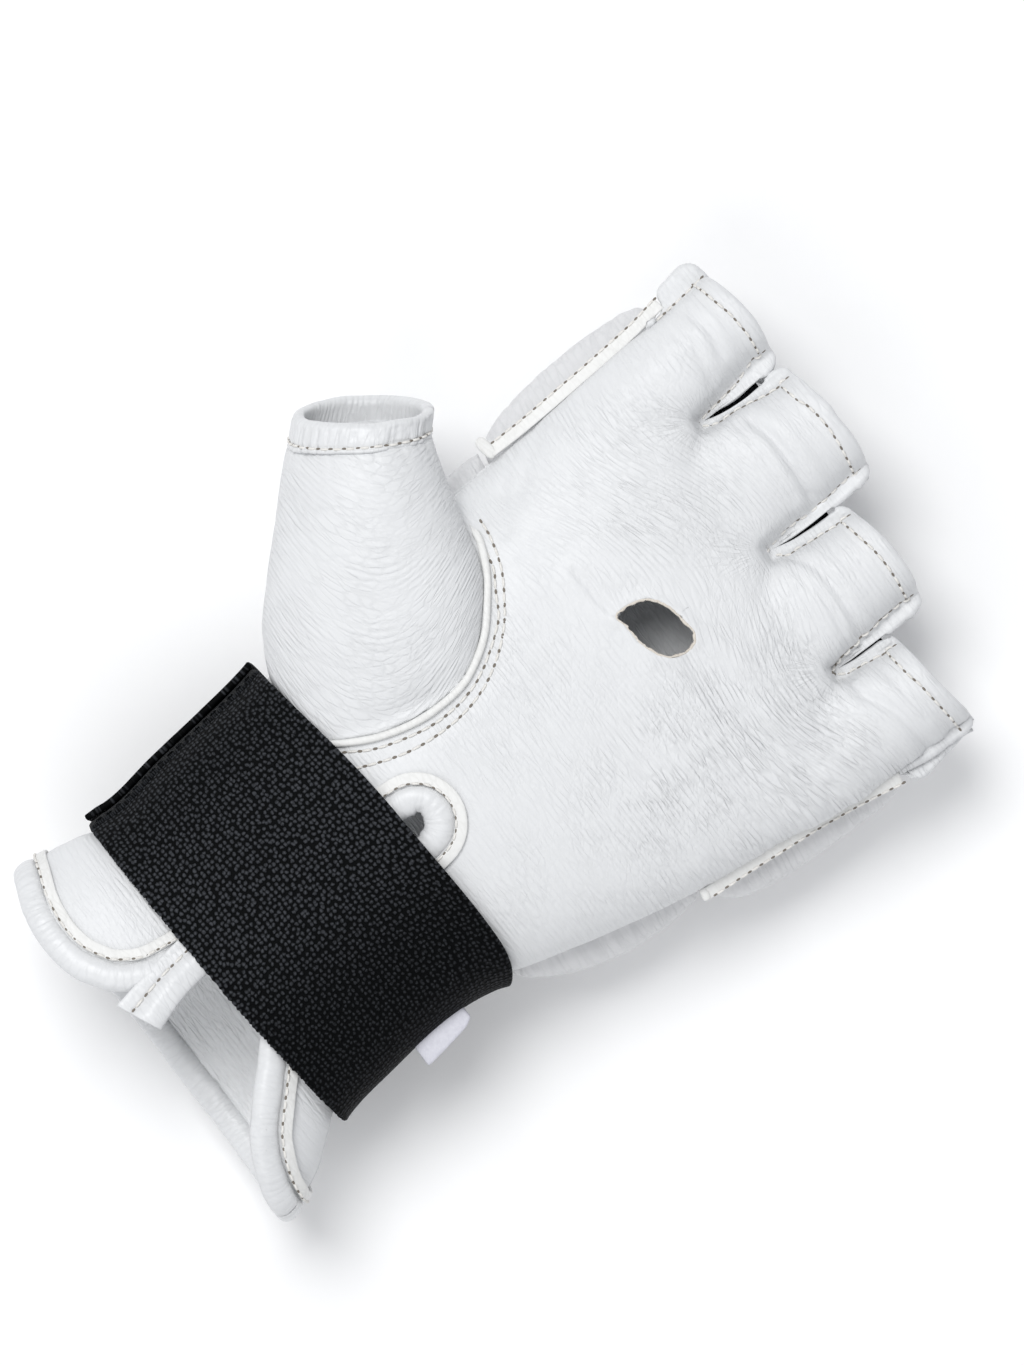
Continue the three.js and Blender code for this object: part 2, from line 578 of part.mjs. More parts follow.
// Elastic strap with its bound end, and the closed end that overlaps it on the back
const strapInner = STRAP.clearance;
const strapOuter = STRAP.clearance + STRAP.thickness;
const strapEndOuter = strapOuter + STRAP.thickness;
const clearAngles = [STRAP_SEAM.clear, ...STRAP_ANGLES, -STRAP_SEAM.clear];
const bindingMiddle = mix(STRAP_SEAM.edge, STRAP_SEAM.front, 0.5);
const bindingAngles = [STRAP_SEAM.edge, bindingMiddle, STRAP_SEAM.front + STRAP.bindingReach];
const elasticStrap = strapSolid(strapInner, strapOuter, STRAP_ANGLES);
const strapClear = strapSolid(strapInner - GAP, strapEndOuter + GAP, clearAngles, STRAP_MARGIN.clearance);
const strapBinding = strapSolid(strapInner, strapOuter + STRAP.bindingRise, bindingAngles);
const strapOverlap = strapSolid(strapInner, strapOuter + GAP, STRAP_ANGLES, STRAP_MARGIN.overlap);
const strapEndBody = strapSolid(strapOuter, strapEndOuter, STRAP_ANGLES.slice(-STRAP_END_SPAN));
const strapEnd = largest(strapEndBody.subtract(strapOverlap));

// Thumb: sleeve, folded hem and the welt along the seam
const [, mouthSection, stitchSection, nextSection] = THUMB_SECTIONS;
const weltFrames = framesAlong(lineOnPalm(THUMB_WELT), WELT.steps, false);
const weltLift = GAP + WELT.thickness / 2;
const weltRoom = { width: WELT.width + 2 * GAP, thickness: WELT.thickness + 2 * GAP };
const thumbWelt = strip(weltFrames, { ...WELT, lift: weltLift });
const weltClear = strip(weltFrames, { ...weltRoom, lift: weltLift });
const hemOuter = thumbSolid(HEM.standOut, [mouthSection, stitchSection]);
const hemInner = thumbSolid(-LEATHER - HEM.fold, THUMB_SECTIONS.slice(0, 4));
const hemBody = hemOuter.subtract(hemInner);
const sleeveStart = mixSections(stitchSection, nextSection, HEM.gapShare);
const sleeveBody = thumbSolid(0, [sleeveStart, ...THUMB_SECTIONS.slice(3)]);
const thumbSleeve = largest(
  sleeveBody.subtract(thumbCavity).subtract(gloveClear).subtract(strapClear).subtract(weltClear),
);

// Edge tapes beside the palm, between it and the pad's roll. The outer edge of a tape is its lower one.
function edgeTape(plan) {
  const outward = Math.sign(plan[0][0]);
  const points = plan.map(([x, y]) => new THREE.Vector3(x, y, EDGE_TAPE.z));
  const curve = new THREE.CatmullRomCurve3(points, false, 'centripetal');
  const up = new THREE.Vector3(outward * Math.sin(EDGE_TAPE.tilt), 0, Math.cos(EDGE_TAPE.tilt));
  const side = new THREE.Vector3(up.z, 0, -up.x);
  const frames = curve.getSpacedPoints(EDGE_TAPE.steps).map((point) => ({ point, side, up }));
  return largest(strip(frames, EDGE_TAPE).subtract(gloveClear));
}

// Pads on the back
const floor = block(-FAR, FAR, -FAR, FAR, 0, SEAM_Z);
const thumbClear = thumbSolid(GAP, THUMB_SECTIONS.slice(1));
const knucklePad = largest(
  padSolid(KNUCKLE_PAD, PAD_JOIN, KNUCKLE_FRONT).intersect(floor).subtract(gloveClear).subtract(thumbClear),
);
const handPadFront = { y: PAD_JOIN.y - GAP, slope: PAD_JOIN.slope };
const handPadBody = padSolid(HAND_PAD, HAND_PAD_REAR, handPadFront).intersect(floor);
const handPad = largest(handPadBody.subtract(gloveClear).subtract(thumbClear).subtract(strapClear));

// Pull tab: a folded strip whose two layers lie one on the other, below the strap
function pullTab() {
  const [rootX, rootY] = PULL_TAB.root;
  const [endX, endY] = PULL_TAB.end;
  const length = Math.hypot(endX - rootX, endY - rootY);
  const along = new THREE.Vector3(endX - rootX, endY - rootY, 0).normalize();
  const side = new THREE.Vector3(-along.y, along.x, 0);
  const steps = 6;
  const rings = Array.from({ length: steps + 1 }, (_, i) => {
    const centre = new THREE.Vector3(rootX, rootY, 0).addScaledVector(along, (i / steps) * length);
    centre.z = palmHeight(PULL_TAB.overX, centre.y) + PULL_TAB.lift;
    const halfWidth = PULL_TAB.width / 2;
    const halfThickness = (PULL_TAB.thickness / 2) * (i === steps ? PULL_TAB_END : 1);
    return PULL_TAB_SECTION.map(([u, v]) =>
      centre.clone().addScaledVector(side, u * halfWidth).add(new THREE.Vector3(0, 0, v * halfThickness)),
    );
  });
  return solidOf(loft(rings));
}

// Small tab that stands out of the strap on the little-finger side
function closureTab() {
  const { x } = strapPoint(0, 0.5, strapOuter + GAP);
  const outline = CLOSURE_PROFILE.map(({ out, down }) => [x + out, CLOSURE_TAB.top - down]);
  const besideStrap = STRAP_ANGLES.slice(STRAP_END_SPAN, -STRAP_END_SPAN);
  const strapSide = strapSolid(0, strapOuter + GAP, besideStrap, STRAP_MARGIN.clearance);
  return prism(outline, CLOSURE_TAB.z, CLOSURE_TAB.z + CLOSURE_TAB.thickness).subtract(strapSide);
}

const assembly = new THREE.Group();
function addPiece(name, solid, finish) {
  const mesh = new THREE.Mesh(geometryOf(solid), new THREE.MeshStandardMaterial(FINISH[finish]));
  mesh.name = name;
  assembly.add(mesh);
}

addPiece('palm_panel', palmPanel, 'leather');
addPiece('back_panel', backPanel, 'leather');
addPiece('thumb_sleeve', thumbSleeve, 'leather');
addPiece('thumb_hem', hemBody, 'leather');
addPiece('thumb_welt', thumbWelt, 'trim');
addPiece('knuckle_pad', knucklePad, 'padLeather');
addPiece('hand_pad', handPad, 'padLeather');
addPiece('index_edge_tape', edgeTape(INDEX_TAPE), 'trim');
addPiece('little_edge_tape', edgeTape(LITTLE_TAPE), 'trim');
addPiece('cuff_roll', cuffRoll, 'padLeather');
addPiece('cuff_tape', cuffTape, 'trim');
addPiece('elastic_strap', elasticStrap, 'elastic');
addPiece('strap_binding', strapBinding, 'binding');
addPiece('strap_end', strapEnd, 'elastic');
addPiece('pull_tab', pullTab(), 'trim');
addPiece('closure_tab', closureTab(), 'label');

assembly.position.set(-FOOTPRINT_CENTRE.x, -FOOTPRINT_CENTRE.y, 0);
const glove = new THREE.Group();
glove.add(assembly);
export default glove;
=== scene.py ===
"""An open-finger karate glove for the left hand: white leather, foam pads on the back, and a black elastic strap.

The glove is drawn in the palm's own millimetres, as the CAD source is, and placed in the frame in metres.
Fingers point along +Y, the thumb stands out towards -X, and the palm is up.
"""

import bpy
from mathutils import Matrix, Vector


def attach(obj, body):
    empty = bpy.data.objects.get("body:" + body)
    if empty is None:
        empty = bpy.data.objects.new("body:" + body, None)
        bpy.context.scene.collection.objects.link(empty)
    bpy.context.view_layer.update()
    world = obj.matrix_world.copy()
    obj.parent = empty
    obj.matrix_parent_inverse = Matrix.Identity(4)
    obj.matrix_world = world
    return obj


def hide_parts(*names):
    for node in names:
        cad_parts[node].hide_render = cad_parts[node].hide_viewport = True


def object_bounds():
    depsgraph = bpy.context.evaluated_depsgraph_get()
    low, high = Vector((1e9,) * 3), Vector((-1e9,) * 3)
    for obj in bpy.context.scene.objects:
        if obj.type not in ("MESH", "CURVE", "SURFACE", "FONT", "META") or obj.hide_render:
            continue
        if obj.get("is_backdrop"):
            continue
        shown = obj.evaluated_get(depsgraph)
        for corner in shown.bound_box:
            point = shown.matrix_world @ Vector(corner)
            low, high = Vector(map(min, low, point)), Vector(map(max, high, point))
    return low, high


bl_info = {
    "name": "Karate glove",
    "version": (1, 0, 0),
    "blender": (4, 5, 0),
    "location": "3D View > Sidebar > Glove",
    "description": "Dresses the packed glove in sewn leather, foam pads and woven elastic",
    "category": "Object",
}

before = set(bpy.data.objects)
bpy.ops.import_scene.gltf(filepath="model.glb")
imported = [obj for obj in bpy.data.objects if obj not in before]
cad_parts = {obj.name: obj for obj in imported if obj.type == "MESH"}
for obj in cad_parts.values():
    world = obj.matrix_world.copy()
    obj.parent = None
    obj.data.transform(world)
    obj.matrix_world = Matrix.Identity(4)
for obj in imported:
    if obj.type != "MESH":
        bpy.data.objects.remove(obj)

import math

import bpy
import numpy as np
from mathutils import Vector

CAD_LOW, CAD_HIGH = (list(corner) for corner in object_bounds())

MM = 1000.0  # millimetres in a metre
# Places and heights that the pieces share, in millimetres
PALM_ORIGIN = np.array([0.54, 24.26, 0.0])  # the palm's own zero in the frame
SEAM_Z = 32.0  # height of the side seam between palm and back
SEAM_CLEAR = 0.15  # half the clearance between the two panels there
FLANGE = 1.4  # thickness of one layer of a finger sleeve's stitched flange
CROTCH_STATION = 46.2  # the slanted station through the three finger crotches
CROTCH_SHARES = (0.0, 0.211, 0.497, 0.764, 1.0)  # of the palm's width
LINE_SLOPE, LINE_FROM, LINE_TO = -0.17, 2.0, 40.0  # the stations near the fingers slant across the hand

# Stations of the hand and cuff: y, left, right, top, bottom, and the exponent of the rounded section
HAND_TABLE = np.array([
    (-122, -30.2, 59.0, 51.5, 7.0, 2.4),
    (-112, -30.0, 57.2, 51.0, 7.5, 2.4),
    (-104, -29.2, 54.0, 50.0, 8.5, 2.4),
    (-98, -27.4, 49.6, 48.6, 10.0, 2.4),
    (-93, -25.2, 46.2, 48.0, 11.0, 2.4),
    (-80, -26.6, 44.2, 47.8, 11.5, 2.4),
    (-65, -28.0, 43.0, 48.0, 12.0, 2.4),
    (-54, -29.4, 44.4, 48.5, 14.0, 2.4),
    (-47, -31.5, 47.2, 49.4, 16.5, 2.4),
    (-38, -33.6, 50.0, 50.0, 18.5, 2.5),
    (-20, -35.4, 54.6, 49.2, 20.0, 2.6),
    (0, -36.4, 58.2, 47.5, 21.0, 2.8),
    (18, -37.1, 60.3, 46.3, 21.5, 3.1),
    (28, -37.7, 61.5, 45.3, 21.8, 3.5),
    (36, -38.1, 62.2, 44.0, 22.2, 3.6),
    (40, -38.4, 62.6, 42.4, 23.2, 3.6),
    (43, -38.4, 62.6, 40.2, 24.8, 3.6),
    (45, -38.4, 62.6, 37.6, 27.0, 3.6),
    (46.2, -38.4, 62.6, 34.8, 29.4, 3.6),
])
LEFT, RIGHT, TOP, BOTTOM, CURVE = range(5)

# Finger sleeves: rounded part at the root and at the mouth, mouth heights, and the back's extra width
FINGERS = {
    "index": (-37.4, -17.6, -39.3, -20.2, 67.4, 69.4, 0.0),
    "middle": (-16.4, 11.4, -13.8, 9.6, 69.4, 70.4, 0.0),
    "ring": (12.6, 38.4, 16.0, 36.4, 62.2, 62.8, 0.0),
    "little": (39.6, 62.6, 42.2, 62.6, 53.0, 55.0, 2.6),
}
# Along a sleeve from root to mouth: share, rise above the seam, drop below it, spread and inset of its sides
FINGER_TABLE = np.array([
    (0.0, 7.0, 5.5, 0.0, 4.0),
    (0.3, 9.8, 8.0, 0.0, 1.6),
    (0.52, 11.0, 9.1, 0.22, 0.0),
    (0.76, 11.0, 9.2, 0.62, 0.0),
    (1.0, 10.6, 9.2, 1.0, 0.0),
])
FINGER_ROOT_Y = 18.0
FINGER_CURVE = 2.3


# Small mathematics


def mix(a, b, t):
    """The value at share t of the way from a to b."""
    return a + (b - a) * t


def power(value, exponent):
    """A power that keeps the sign of its value."""
    return np.sign(value) * np.abs(value) ** exponent


def ease(low, high, value):
    """0 below low, 1 above high, and smooth between them."""
    t = np.clip((np.asarray(value, float) - low) / (high - low), 0, 1)
    return t * t * (3 - 2 * t)


def hump(centre, width, value):
    """A smooth bump of height 1 round a centre."""
    return np.exp(-(((np.asarray(value, float) - centre) / width) ** 2))


def soft_max(a, b, radius):
    """The larger of two heights, with the corner between them rounded."""
    share = np.maximum(radius - np.abs(a - b), 0) / radius
    return np.maximum(a, b) + share * share * radius / 4


def unit(vectors):
    """Vectors of length 1."""
    return vectors / np.maximum(np.linalg.norm(vectors, axis=-1, keepdims=True), 1e-9)


def follow(table, at):
    """The columns of a table at some keys, on a smooth curve through its rows."""
    keys, values = table[:, 0], table[:, 1:]
    slopes = np.empty_like(values)
    slopes[1:-1] = (values[2:] - values[:-2]) / (keys[2:] - keys[:-2])[:, None]
    slopes[0] = (values[1] - values[0]) / (keys[1] - keys[0])
    slopes[-1] = (values[-1] - values[-2]) / (keys[-1] - keys[-2])
    at = np.clip(np.asarray(at, float), keys[0], keys[-1])
    row = np.clip(np.searchsorted(keys, at, side="right") - 1, 0, len(keys) - 2)
    span = (keys[row + 1] - keys[row])[..., None]
    t = (at - keys[row])[..., None] / span
    t2, t3 = t * t, t * t * t
    start = (2 * t3 - 3 * t2 + 1) * values[row] + (t3 - 2 * t2 + t) * slopes[row] * span
    end = (3 * t2 - 2 * t3) * values[row + 1] + (t3 - t2) * slopes[row + 1] * span
    return start + end


def smooth_line(points, spacing=None, count=None, closed=False):
    """Evenly spaced points on a smooth curve through some points."""
    points = np.asarray(points, float)
    if closed:
        points = np.vstack([points[-2:], points, points[:3]])
    lengths = np.linalg.norm(np.diff(points, axis=0), axis=1)
    keys = np.concatenate([[0], np.cumsum(np.maximum(lengths, 1e-6))])
    table = np.column_stack([keys, points])
    low, high = (keys[2], keys[-3]) if closed else (keys[0], keys[-1])
    fine = follow(table, np.linspace(low, high, 40 * len(points)))
    along = np.concatenate([[0], np.cumsum(np.linalg.norm(np.diff(fine, axis=0), axis=1))])
    if count is None:
        count = max(3, int(round(along[-1] / spacing)) + 1)
    steps = np.linspace(0, along[-1], count + 1)[:-1] if closed else np.linspace(0, along[-1], count)
    return np.column_stack([np.interp(steps, along, fine[:, k]) for k in range(fine.shape[1])])


def distance_inside(outline, x, y):
    """Distance of plan points from a closed outline: positive inside it."""
    outline = np.asarray(outline, float)
    following = np.roll(outline, -1, axis=0)
    flat = np.column_stack([np.ravel(x), np.ravel(y)])
    nearest = np.full(len(flat), np.inf)
    inside = np.zeros(len(flat), bool)
    for a, b in zip(outline, following):
        edge = b - a
        t = np.clip(((flat - a) @ edge) / max(edge @ edge, 1e-12), 0, 1)
        nearest = np.minimum(nearest, np.linalg.norm(flat - a - t[:, None] * edge, axis=1))
        crosses = (a[1] > flat[:, 1]) != (b[1] > flat[:, 1])
        if crosses.any():
            at = a[0] + (flat[:, 1] - a[1]) / (b[1] - a[1] if b[1] != a[1] else 1e-12) * edge[0]
            inside ^= crosses & (flat[:, 0] < at)
    return np.where(inside, nearest, -nearest).reshape(np.shape(x))


LATTICE = np.random.RandomState(11).rand(256, 256)


def noise(x, y, seed=0):
    """Smooth noise from 0 to 1 with features about one unit apart."""
    x, y = np.asarray(x, float) + 17.3 * seed, np.asarray(y, float) + 5.7 * seed
    column, row = np.floor(x).astype(int), np.floor(y).astype(int)
    u, v = x - column, y - row
    u, v = u * u * (3 - 2 * u), v * v * (3 - 2 * v)
    corner = lambda i, j: LATTICE[(row + j) & 255, (column + i) & 255]
    return mix(mix(corner(0, 0), corner(1, 0), u), mix(corner(0, 1), corner(1, 1), u), v)


def ridges(x, y, seed=0):
    """Thin creases from 0 to 1 where two levels of noise meet."""
    return (1 - np.abs(2 * noise(x, y, seed) - 1)) ** 3


# The glove's own surfaces


def slant(s):
    """How much a station leans across the hand."""
    return LINE_SLOPE * ease(LINE_FROM, LINE_TO, s)


def station_at(x, y):
    """The slanted station over a point of the plan."""
    s = np.asarray(y, float)
    for _ in range(6):
        s = y - slant(s) * x
    return s


def hand_point(s, cosine, sine, offset=0.0):
    """A point of the rounded hand and cuff at a station and an angle round it."""
    row = follow(HAND_TABLE, s)
    left, right = row[..., LEFT] - offset, row[..., RIGHT] + offset
    up, down = row[..., TOP] - SEAM_Z + offset, SEAM_Z - row[..., BOTTOM] + offset
    curve = row[..., CURVE]
    x = mix(left, right, (1 + power(cosine, 2 / curve)) / 2)
    z = SEAM_Z + np.where(np.asarray(sine) >= 0, up, down) * power(sine, 2 / curve)
    return np.stack(np.broadcast_arrays(x, s + slant(s) * x, z), axis=-1)


def hand_rise(x, y, side):
    """Height of the hand's surface away from the seam, above it for side 1 and below it for side -1."""
    row = follow(HAND_TABLE, station_at(x, y))
    across = np.clip(np.abs((2 * x - row[..., LEFT] - row[..., RIGHT]) / (row[..., RIGHT] - row[..., LEFT])), 0, 1)
    rise = row[..., TOP] - SEAM_Z if side > 0 else SEAM_Z - row[..., BOTTOM]
    return rise * (1 - across ** row[..., CURVE]) ** (1 / row[..., CURVE])


def finger_rise(name, x, y, side):
    """Height of one finger sleeve's rounded part away from the seam."""
    left0, right0, left1, right1, mouth_left, mouth_right, back = FINGERS[name]
    root = FINGER_ROOT_Y + LINE_SLOPE * x
    mouth = mix(mouth_left, mouth_right, (x - left1) / (right1 - left1))
    t = np.clip((y - root) / (mouth - root), -1, 1.2)
    row = follow(FINGER_TABLE, t)
    left = mix(left0, left1, row[..., 2]) + row[..., 3]
    right = mix(right0, right1, row[..., 2]) - row[..., 3]
    if side < 0:
        right = right + back * (1 - 0.6 * np.clip(t, 0, 1))
    across = np.clip(np.abs((2 * x - left - right) / (right - left)), 0, 1)
    rise = row[..., 0 if side > 0 else 1]
    return np.where(t < 0, 0, rise * (1 - across**FINGER_CURVE) ** (1 / FINGER_CURVE))


def glove_rise(x, y, side):
    """Height of the glove's surface away from the seam: hand and finger sleeves, without their flanges."""
    rise = hand_rise(x, y, side)
    for name in FINGERS:
        rise = soft_max(rise, finger_rise(name, x, y, side), 2.4)
    return rise


def panel_rise(x, y, side):
    """Height of a panel away from the seam, with the flanges of its finger sleeves."""
    rise = glove_rise(x, y, side)
    if side > 0:
        for crotch in CROTCHES:
            rise = rise + 2.4 * hump(0, 6.0, np.hypot(x - crotch[0], y - crotch[1])) * ease(2.0, 7.0, rise)
    fingers = ease(CROTCH_STATION - 3.5, CROTCH_STATION + 1.0, station_at(x, y))
    return mix(rise, soft_max(rise, np.full_like(rise, FLANGE), 1.0), fingers)


def palm_height(x, y):
    """Height of the palm's outer surface over a point of the plan."""
    return SEAM_Z + glove_rise(np.asarray(x, float), np.asarray(y, float), 1)


def hand_outside(points):
    """How far outside the rounded hand points are, as a level: 1 on its surface and more outside."""
    row = follow(HAND_TABLE, station_at(points[..., 0], points[..., 1]))
    across = np.abs((2 * points[..., 0] - row[..., LEFT] - row[..., RIGHT]) / (row[..., RIGHT] - row[..., LEFT]))
    rise = np.where(points[..., 2] >= SEAM_Z, row[..., TOP] - SEAM_Z, SEAM_Z - row[..., BOTTOM])
    high = np.abs((points[..., 2] - SEAM_Z) / rise)
    return (across ** row[..., CURVE] + high ** row[..., CURVE]) ** (1 / row[..., CURVE])


def hand_normal(points):
    """Outward normals of the hand's surface."""
    step = 0.5
    moves = np.eye(3) * step
    return unit(np.stack([hand_outside(points + m) - hand_outside(points - m) for m in moves], axis=-1))
# Settings that the panel shows


def hex_colour(values):
    """The hex code of a colour that the panel keeps in sRGB."""
    return "#" + "".join(f"{round(255 * c):02X}" for c in values[:3])


def glove_colour(name):
    """The hex code of one of the glove's colours."""
    return hex_colour(getattr(bpy.context.scene.glove_colours, name))


def colour_property(name, code, description):
    """A colour that is kept in sRGB."""
    default = [int(code[k:k + 2], 16) / 255 for k in (1, 3, 5)]
    return bpy.props.FloatVectorProperty(name=name, description=description, subtype="COLOR_GAMMA", size=3,
                                         default=default, min=0.0, max=1.0)


class GloveColours(bpy.types.PropertyGroup):
    """Colours of the leather, textiles and thread."""

    leather: colour_property("Leather", "#E2E3E4", "Face of the white leather panels")
    pads: colour_property("Pads", "#E0E0E1", "Face of the leather over the foam pads")
    tape: colour_property("Tape", "#EBEBE9", "Narrow leather tapes and cut edges")
    elastic: colour_property("Elastic", "#050607", "Woven elastic of the strap and its ribbon")
    tab: colour_property("Tab", "#E0E0E8", "Small woven tab beside the strap")


class GloveSewing(bpy.types.PropertyGroup):
    """Sizes of the sewing."""

    pitch: bpy.props.FloatProperty(name="Stitch pitch", description="Distance from one needle hole to the next",
                                   default=0.0026, min=0.0015, max=0.006, unit="LENGTH")
    thread: bpy.props.FloatProperty(name="Thread", description="Diameter of the sewing thread",
                                    default=0.00052, min=0.0002, max=0.0012, unit="LENGTH")
    leather: bpy.props.FloatProperty(name="Leather", description="Thickness of a leather panel with its lining",
                                     default=0.0015, min=0.0008, max=0.002, unit="LENGTH")


class GloveStage(bpy.types.PropertyGroup):
    """Light of the studio."""

    key_power: bpy.props.FloatProperty(name="Key light", description="Power of the large soft light",
                                       default=14.7, min=0.0, max=500.0, unit="POWER")
    ambient: bpy.props.FloatProperty(name="Ambient", description="Strength of the pale surroundings",
                                     default=0.5, min=0.0, max=3.0, subtype="FACTOR")


# Meshes


def grid_faces(rows, columns, closed=False):
    """Quads of a grid of points. A closed grid joins its last column to its first."""
    index = np.arange(rows * columns).reshape(rows, columns)
    nearer, further = index[:-1], index[1:]
    if closed:
        after = lambda a: np.roll(a, -1, axis=1)
        quads = np.stack([nearer, after(nearer), after(further), further], axis=-1)
    else:
        quads = np.stack([nearer[:, :-1], nearer[:, 1:], further[:, 1:], further[:, :-1]], axis=-1)
    return quads.reshape(-1, 4)


def vertex_normals(points, faces):
    """Normals of the vertices, from the faces round each."""
    a, b, c, d = (points[faces[:, k]] for k in range(4))
    normals = np.cross(c - a, d - b)
    total = np.zeros_like(points)
    for k in range(4):
        np.add.at(total, faces[:, k], normals)
    return unit(total)


def keep_faces(points, faces):
    """Drops the points that no face uses."""
    used = np.unique(faces)
    number = np.full(len(points), -1)
    number[used] = np.arange(len(used))
    return points[used], number[faces]


def border_edges(faces):
    """Edges that belong to one face only, in the face's own direction."""
    a, b = faces.ravel(), np.roll(faces, -1, axis=1).ravel()
    real = a != b
    a, b = a[real], b[real]
    size = int(faces.max()) + 1
    forward, backward = a.astype(np.int64) * size + b, b.astype(np.int64) * size + a
    alone = ~np.isin(forward, backward)
    return a[alone], b[alone]


def shell(points, faces, thickness, roundness=0.9, steps=3):
    """Gives a sheet its thickness, inwards, with a rounded rim.

    Returns points, faces, and the outer point that each point came from.
    """
    normals = vertex_normals(points, faces)
    count = len(points)
    thickness = np.broadcast_to(thickness, (count,))[:, None]
    inner = points - normals * thickness
    start, end = border_edges(faces)
    outwards = np.zeros_like(points)
    sideways = np.cross(points[end] - points[start], normals[start] + normals[end])
    np.add.at(outwards, start, sideways)
    np.add.at(outwards, end, sideways)
    rim = np.unique(np.concatenate([start, end]))
    out = unit(outwards[rim])
    bulge = np.broadcast_to(roundness, (count,))[rim, None] * thickness[rim] / 2
    middle, half = (points[rim] + inner[rim]) / 2, (points[rim] - inner[rim]) / 2
    chains = [rim]
    all_points, source = [points, inner], [np.arange(count), np.arange(count)]
    total = 2 * count
    for k in range(1, steps + 1):
        angle = math.pi * k / (steps + 1)
        all_points.append(middle + half * math.cos(angle) + out * bulge * math.sin(angle))
        source.append(rim)
        chains.append(np.arange(total, total + len(rim)))
        total += len(rim)
    chains.append(rim + count)
    place = np.zeros(count, int)
    place[rim] = np.arange(len(rim))
    rim_faces = [
        np.stack([a[place[end]], a[place[start]], b[place[start]], b[place[end]]], axis=-1)
        for a, b in zip(chains[:-1], chains[1:])
    ]
    inner_faces = faces[:, ::-1] + count
    return np.vstack(all_points), np.vstack([faces, inner_faces, *rim_faces]), np.concatenate(source)


def make_piece(name, points, faces, finish, replaces=(), **attributes):
    """A Blender object from points in palm millimetres, riding on the glove's one body."""
    points = np.asarray(points, float)
    mesh = bpy.data.meshes.new(name)
    mesh.from_pydata(((points + PALM_ORIGIN) / MM).tolist(), [], np.asarray(faces).tolist())
    mesh.shade_smooth()
    for key, values in {"crease_place": points, "wrinkle": np.ones(len(points)), **attributes}.items():
        values = np.asarray(values, np.float32)
        kind, field = ("FLOAT_VECTOR", "vector") if values.ndim == 2 else ("FLOAT", "value")
        mesh.attributes.new(key, kind, "POINT").data.foreach_set(field, values.ravel())
    mesh.validate()
    mesh.materials.append(look(finish))
    piece = bpy.data.objects.new(name, mesh)
    bpy.context.scene.collection.objects.link(piece)
    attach(piece, "root")
    if replaces:
        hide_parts(*replaces)
    return piece


def frames_along(line, up, closed=False):
    """Directions at each point of a line: along it, to its side, and up from the surface that it lies on."""
    if closed:
        along = unit(np.roll(line, -1, axis=0) - np.roll(line, 1, axis=0))
    else:
        along = unit(np.gradient(line, axis=0))
    up = unit(up - along * np.sum(up * along, axis=1, keepdims=True))
    return along, np.cross(up, along), up


def sweep(line, side, up, section, closed=False, caps=True):
    """A closed section drawn along a line. The section gives (side, up) pairs for each point of the line."""
    section = np.asarray(section, float)
    if section.ndim == 2:
        section = np.broadcast_to(section, (len(line), *section.shape))
    points = line[:, None] + section[..., :1] * side[:, None] + section[..., 1:] * up[:, None]
    rows, columns = points.shape[:2]
    if closed:
        points = np.concatenate([points, points[:1]], axis=0)
        faces = grid_faces(rows + 1, columns, closed=True)
        faces = np.where(faces >= rows * columns, faces - rows * columns, faces)
        return points[:-1].reshape(-1, 3), faces
    faces = grid_faces(rows, columns, closed=True)
    points = points.reshape(-1, 3)
    if caps:
        ends = []
        for first, turn in ((0, 1), ((rows - 1) * columns, -1)):
            ring = np.arange(columns)[::turn] + first
            half = columns // 2
            for k in range(half - 1):
                ends.append([ring[k], ring[columns - 1 - k], ring[columns - 2 - k], ring[k + 1]])
        faces = np.vstack([faces, ends])
    return points, faces


def oval(across, rise, count, curve=2.0, centre=(0.0, 0.0)):
    """A rounded section with its own half sizes."""
    angle = 2 * np.pi * (np.arange(count) + 0.5) / count
    return np.column_stack([
        centre[0] + across * power(np.cos(angle), 2 / curve),
        centre[1] + rise * power(np.sin(angle), 2 / curve),
    ])


def join_parts(parts):
    """One set of points and faces from several."""
    points, faces, total = [], [], 0
    for part_points, part_faces in parts:
        points.append(part_points)
        faces.append(np.asarray(part_faces) + total)
        total += len(part_points)
    return np.vstack(points), np.vstack(faces)


def stitches(lines, pitch, length, thread, sunk=0.25, seed=3):
    """Rows of stitches: short rounded threads that dip into the leather at both ends.

    Each line is (points, up): evenly spaced points and the surface normals there.
    """
    random = np.random.RandomState(seed)
    around, steps = 6, 7
    ring = 2 * np.pi * np.arange(around) / around
    parts = []
    for points, up in lines:
        gaps = np.linalg.norm(np.diff(points, axis=0), axis=1)
        along = np.concatenate([[0], np.cumsum(gaps)])
        count = max(1, int(along[-1] / pitch))
        step = along[-1] / count
        for k in range(count):
            start = (k + 0.5) * step - length / 2 + random.uniform(-0.08, 0.08) * pitch
            at = start + length * np.linspace(0, 1, steps)
            centre = np.column_stack([np.interp(at, along, points[:, i]) for i in range(3)])
            normal = unit(np.column_stack([np.interp(at, along, up[:, i]) for i in range(3)]))
            _, side, normal = frames_along(centre, normal)
            share = np.linspace(-1, 1, steps)
            lift = (1 - share**4) * thread * 0.55 - np.abs(share) ** 6 * sunk - thread * 0.12
            width = thread / 2 * (1 - 0.55 * np.abs(share) ** 5)
            drift = random.uniform(-0.05, 0.05)
            centre = centre + normal * lift[:, None] + side * drift
            section = np.stack([np.cos(ring)[None] * width[:, None], np.sin(ring)[None] * width[:, None]], axis=-1)
            parts.append(sweep(centre, side, normal, section))
    return join_parts(parts)


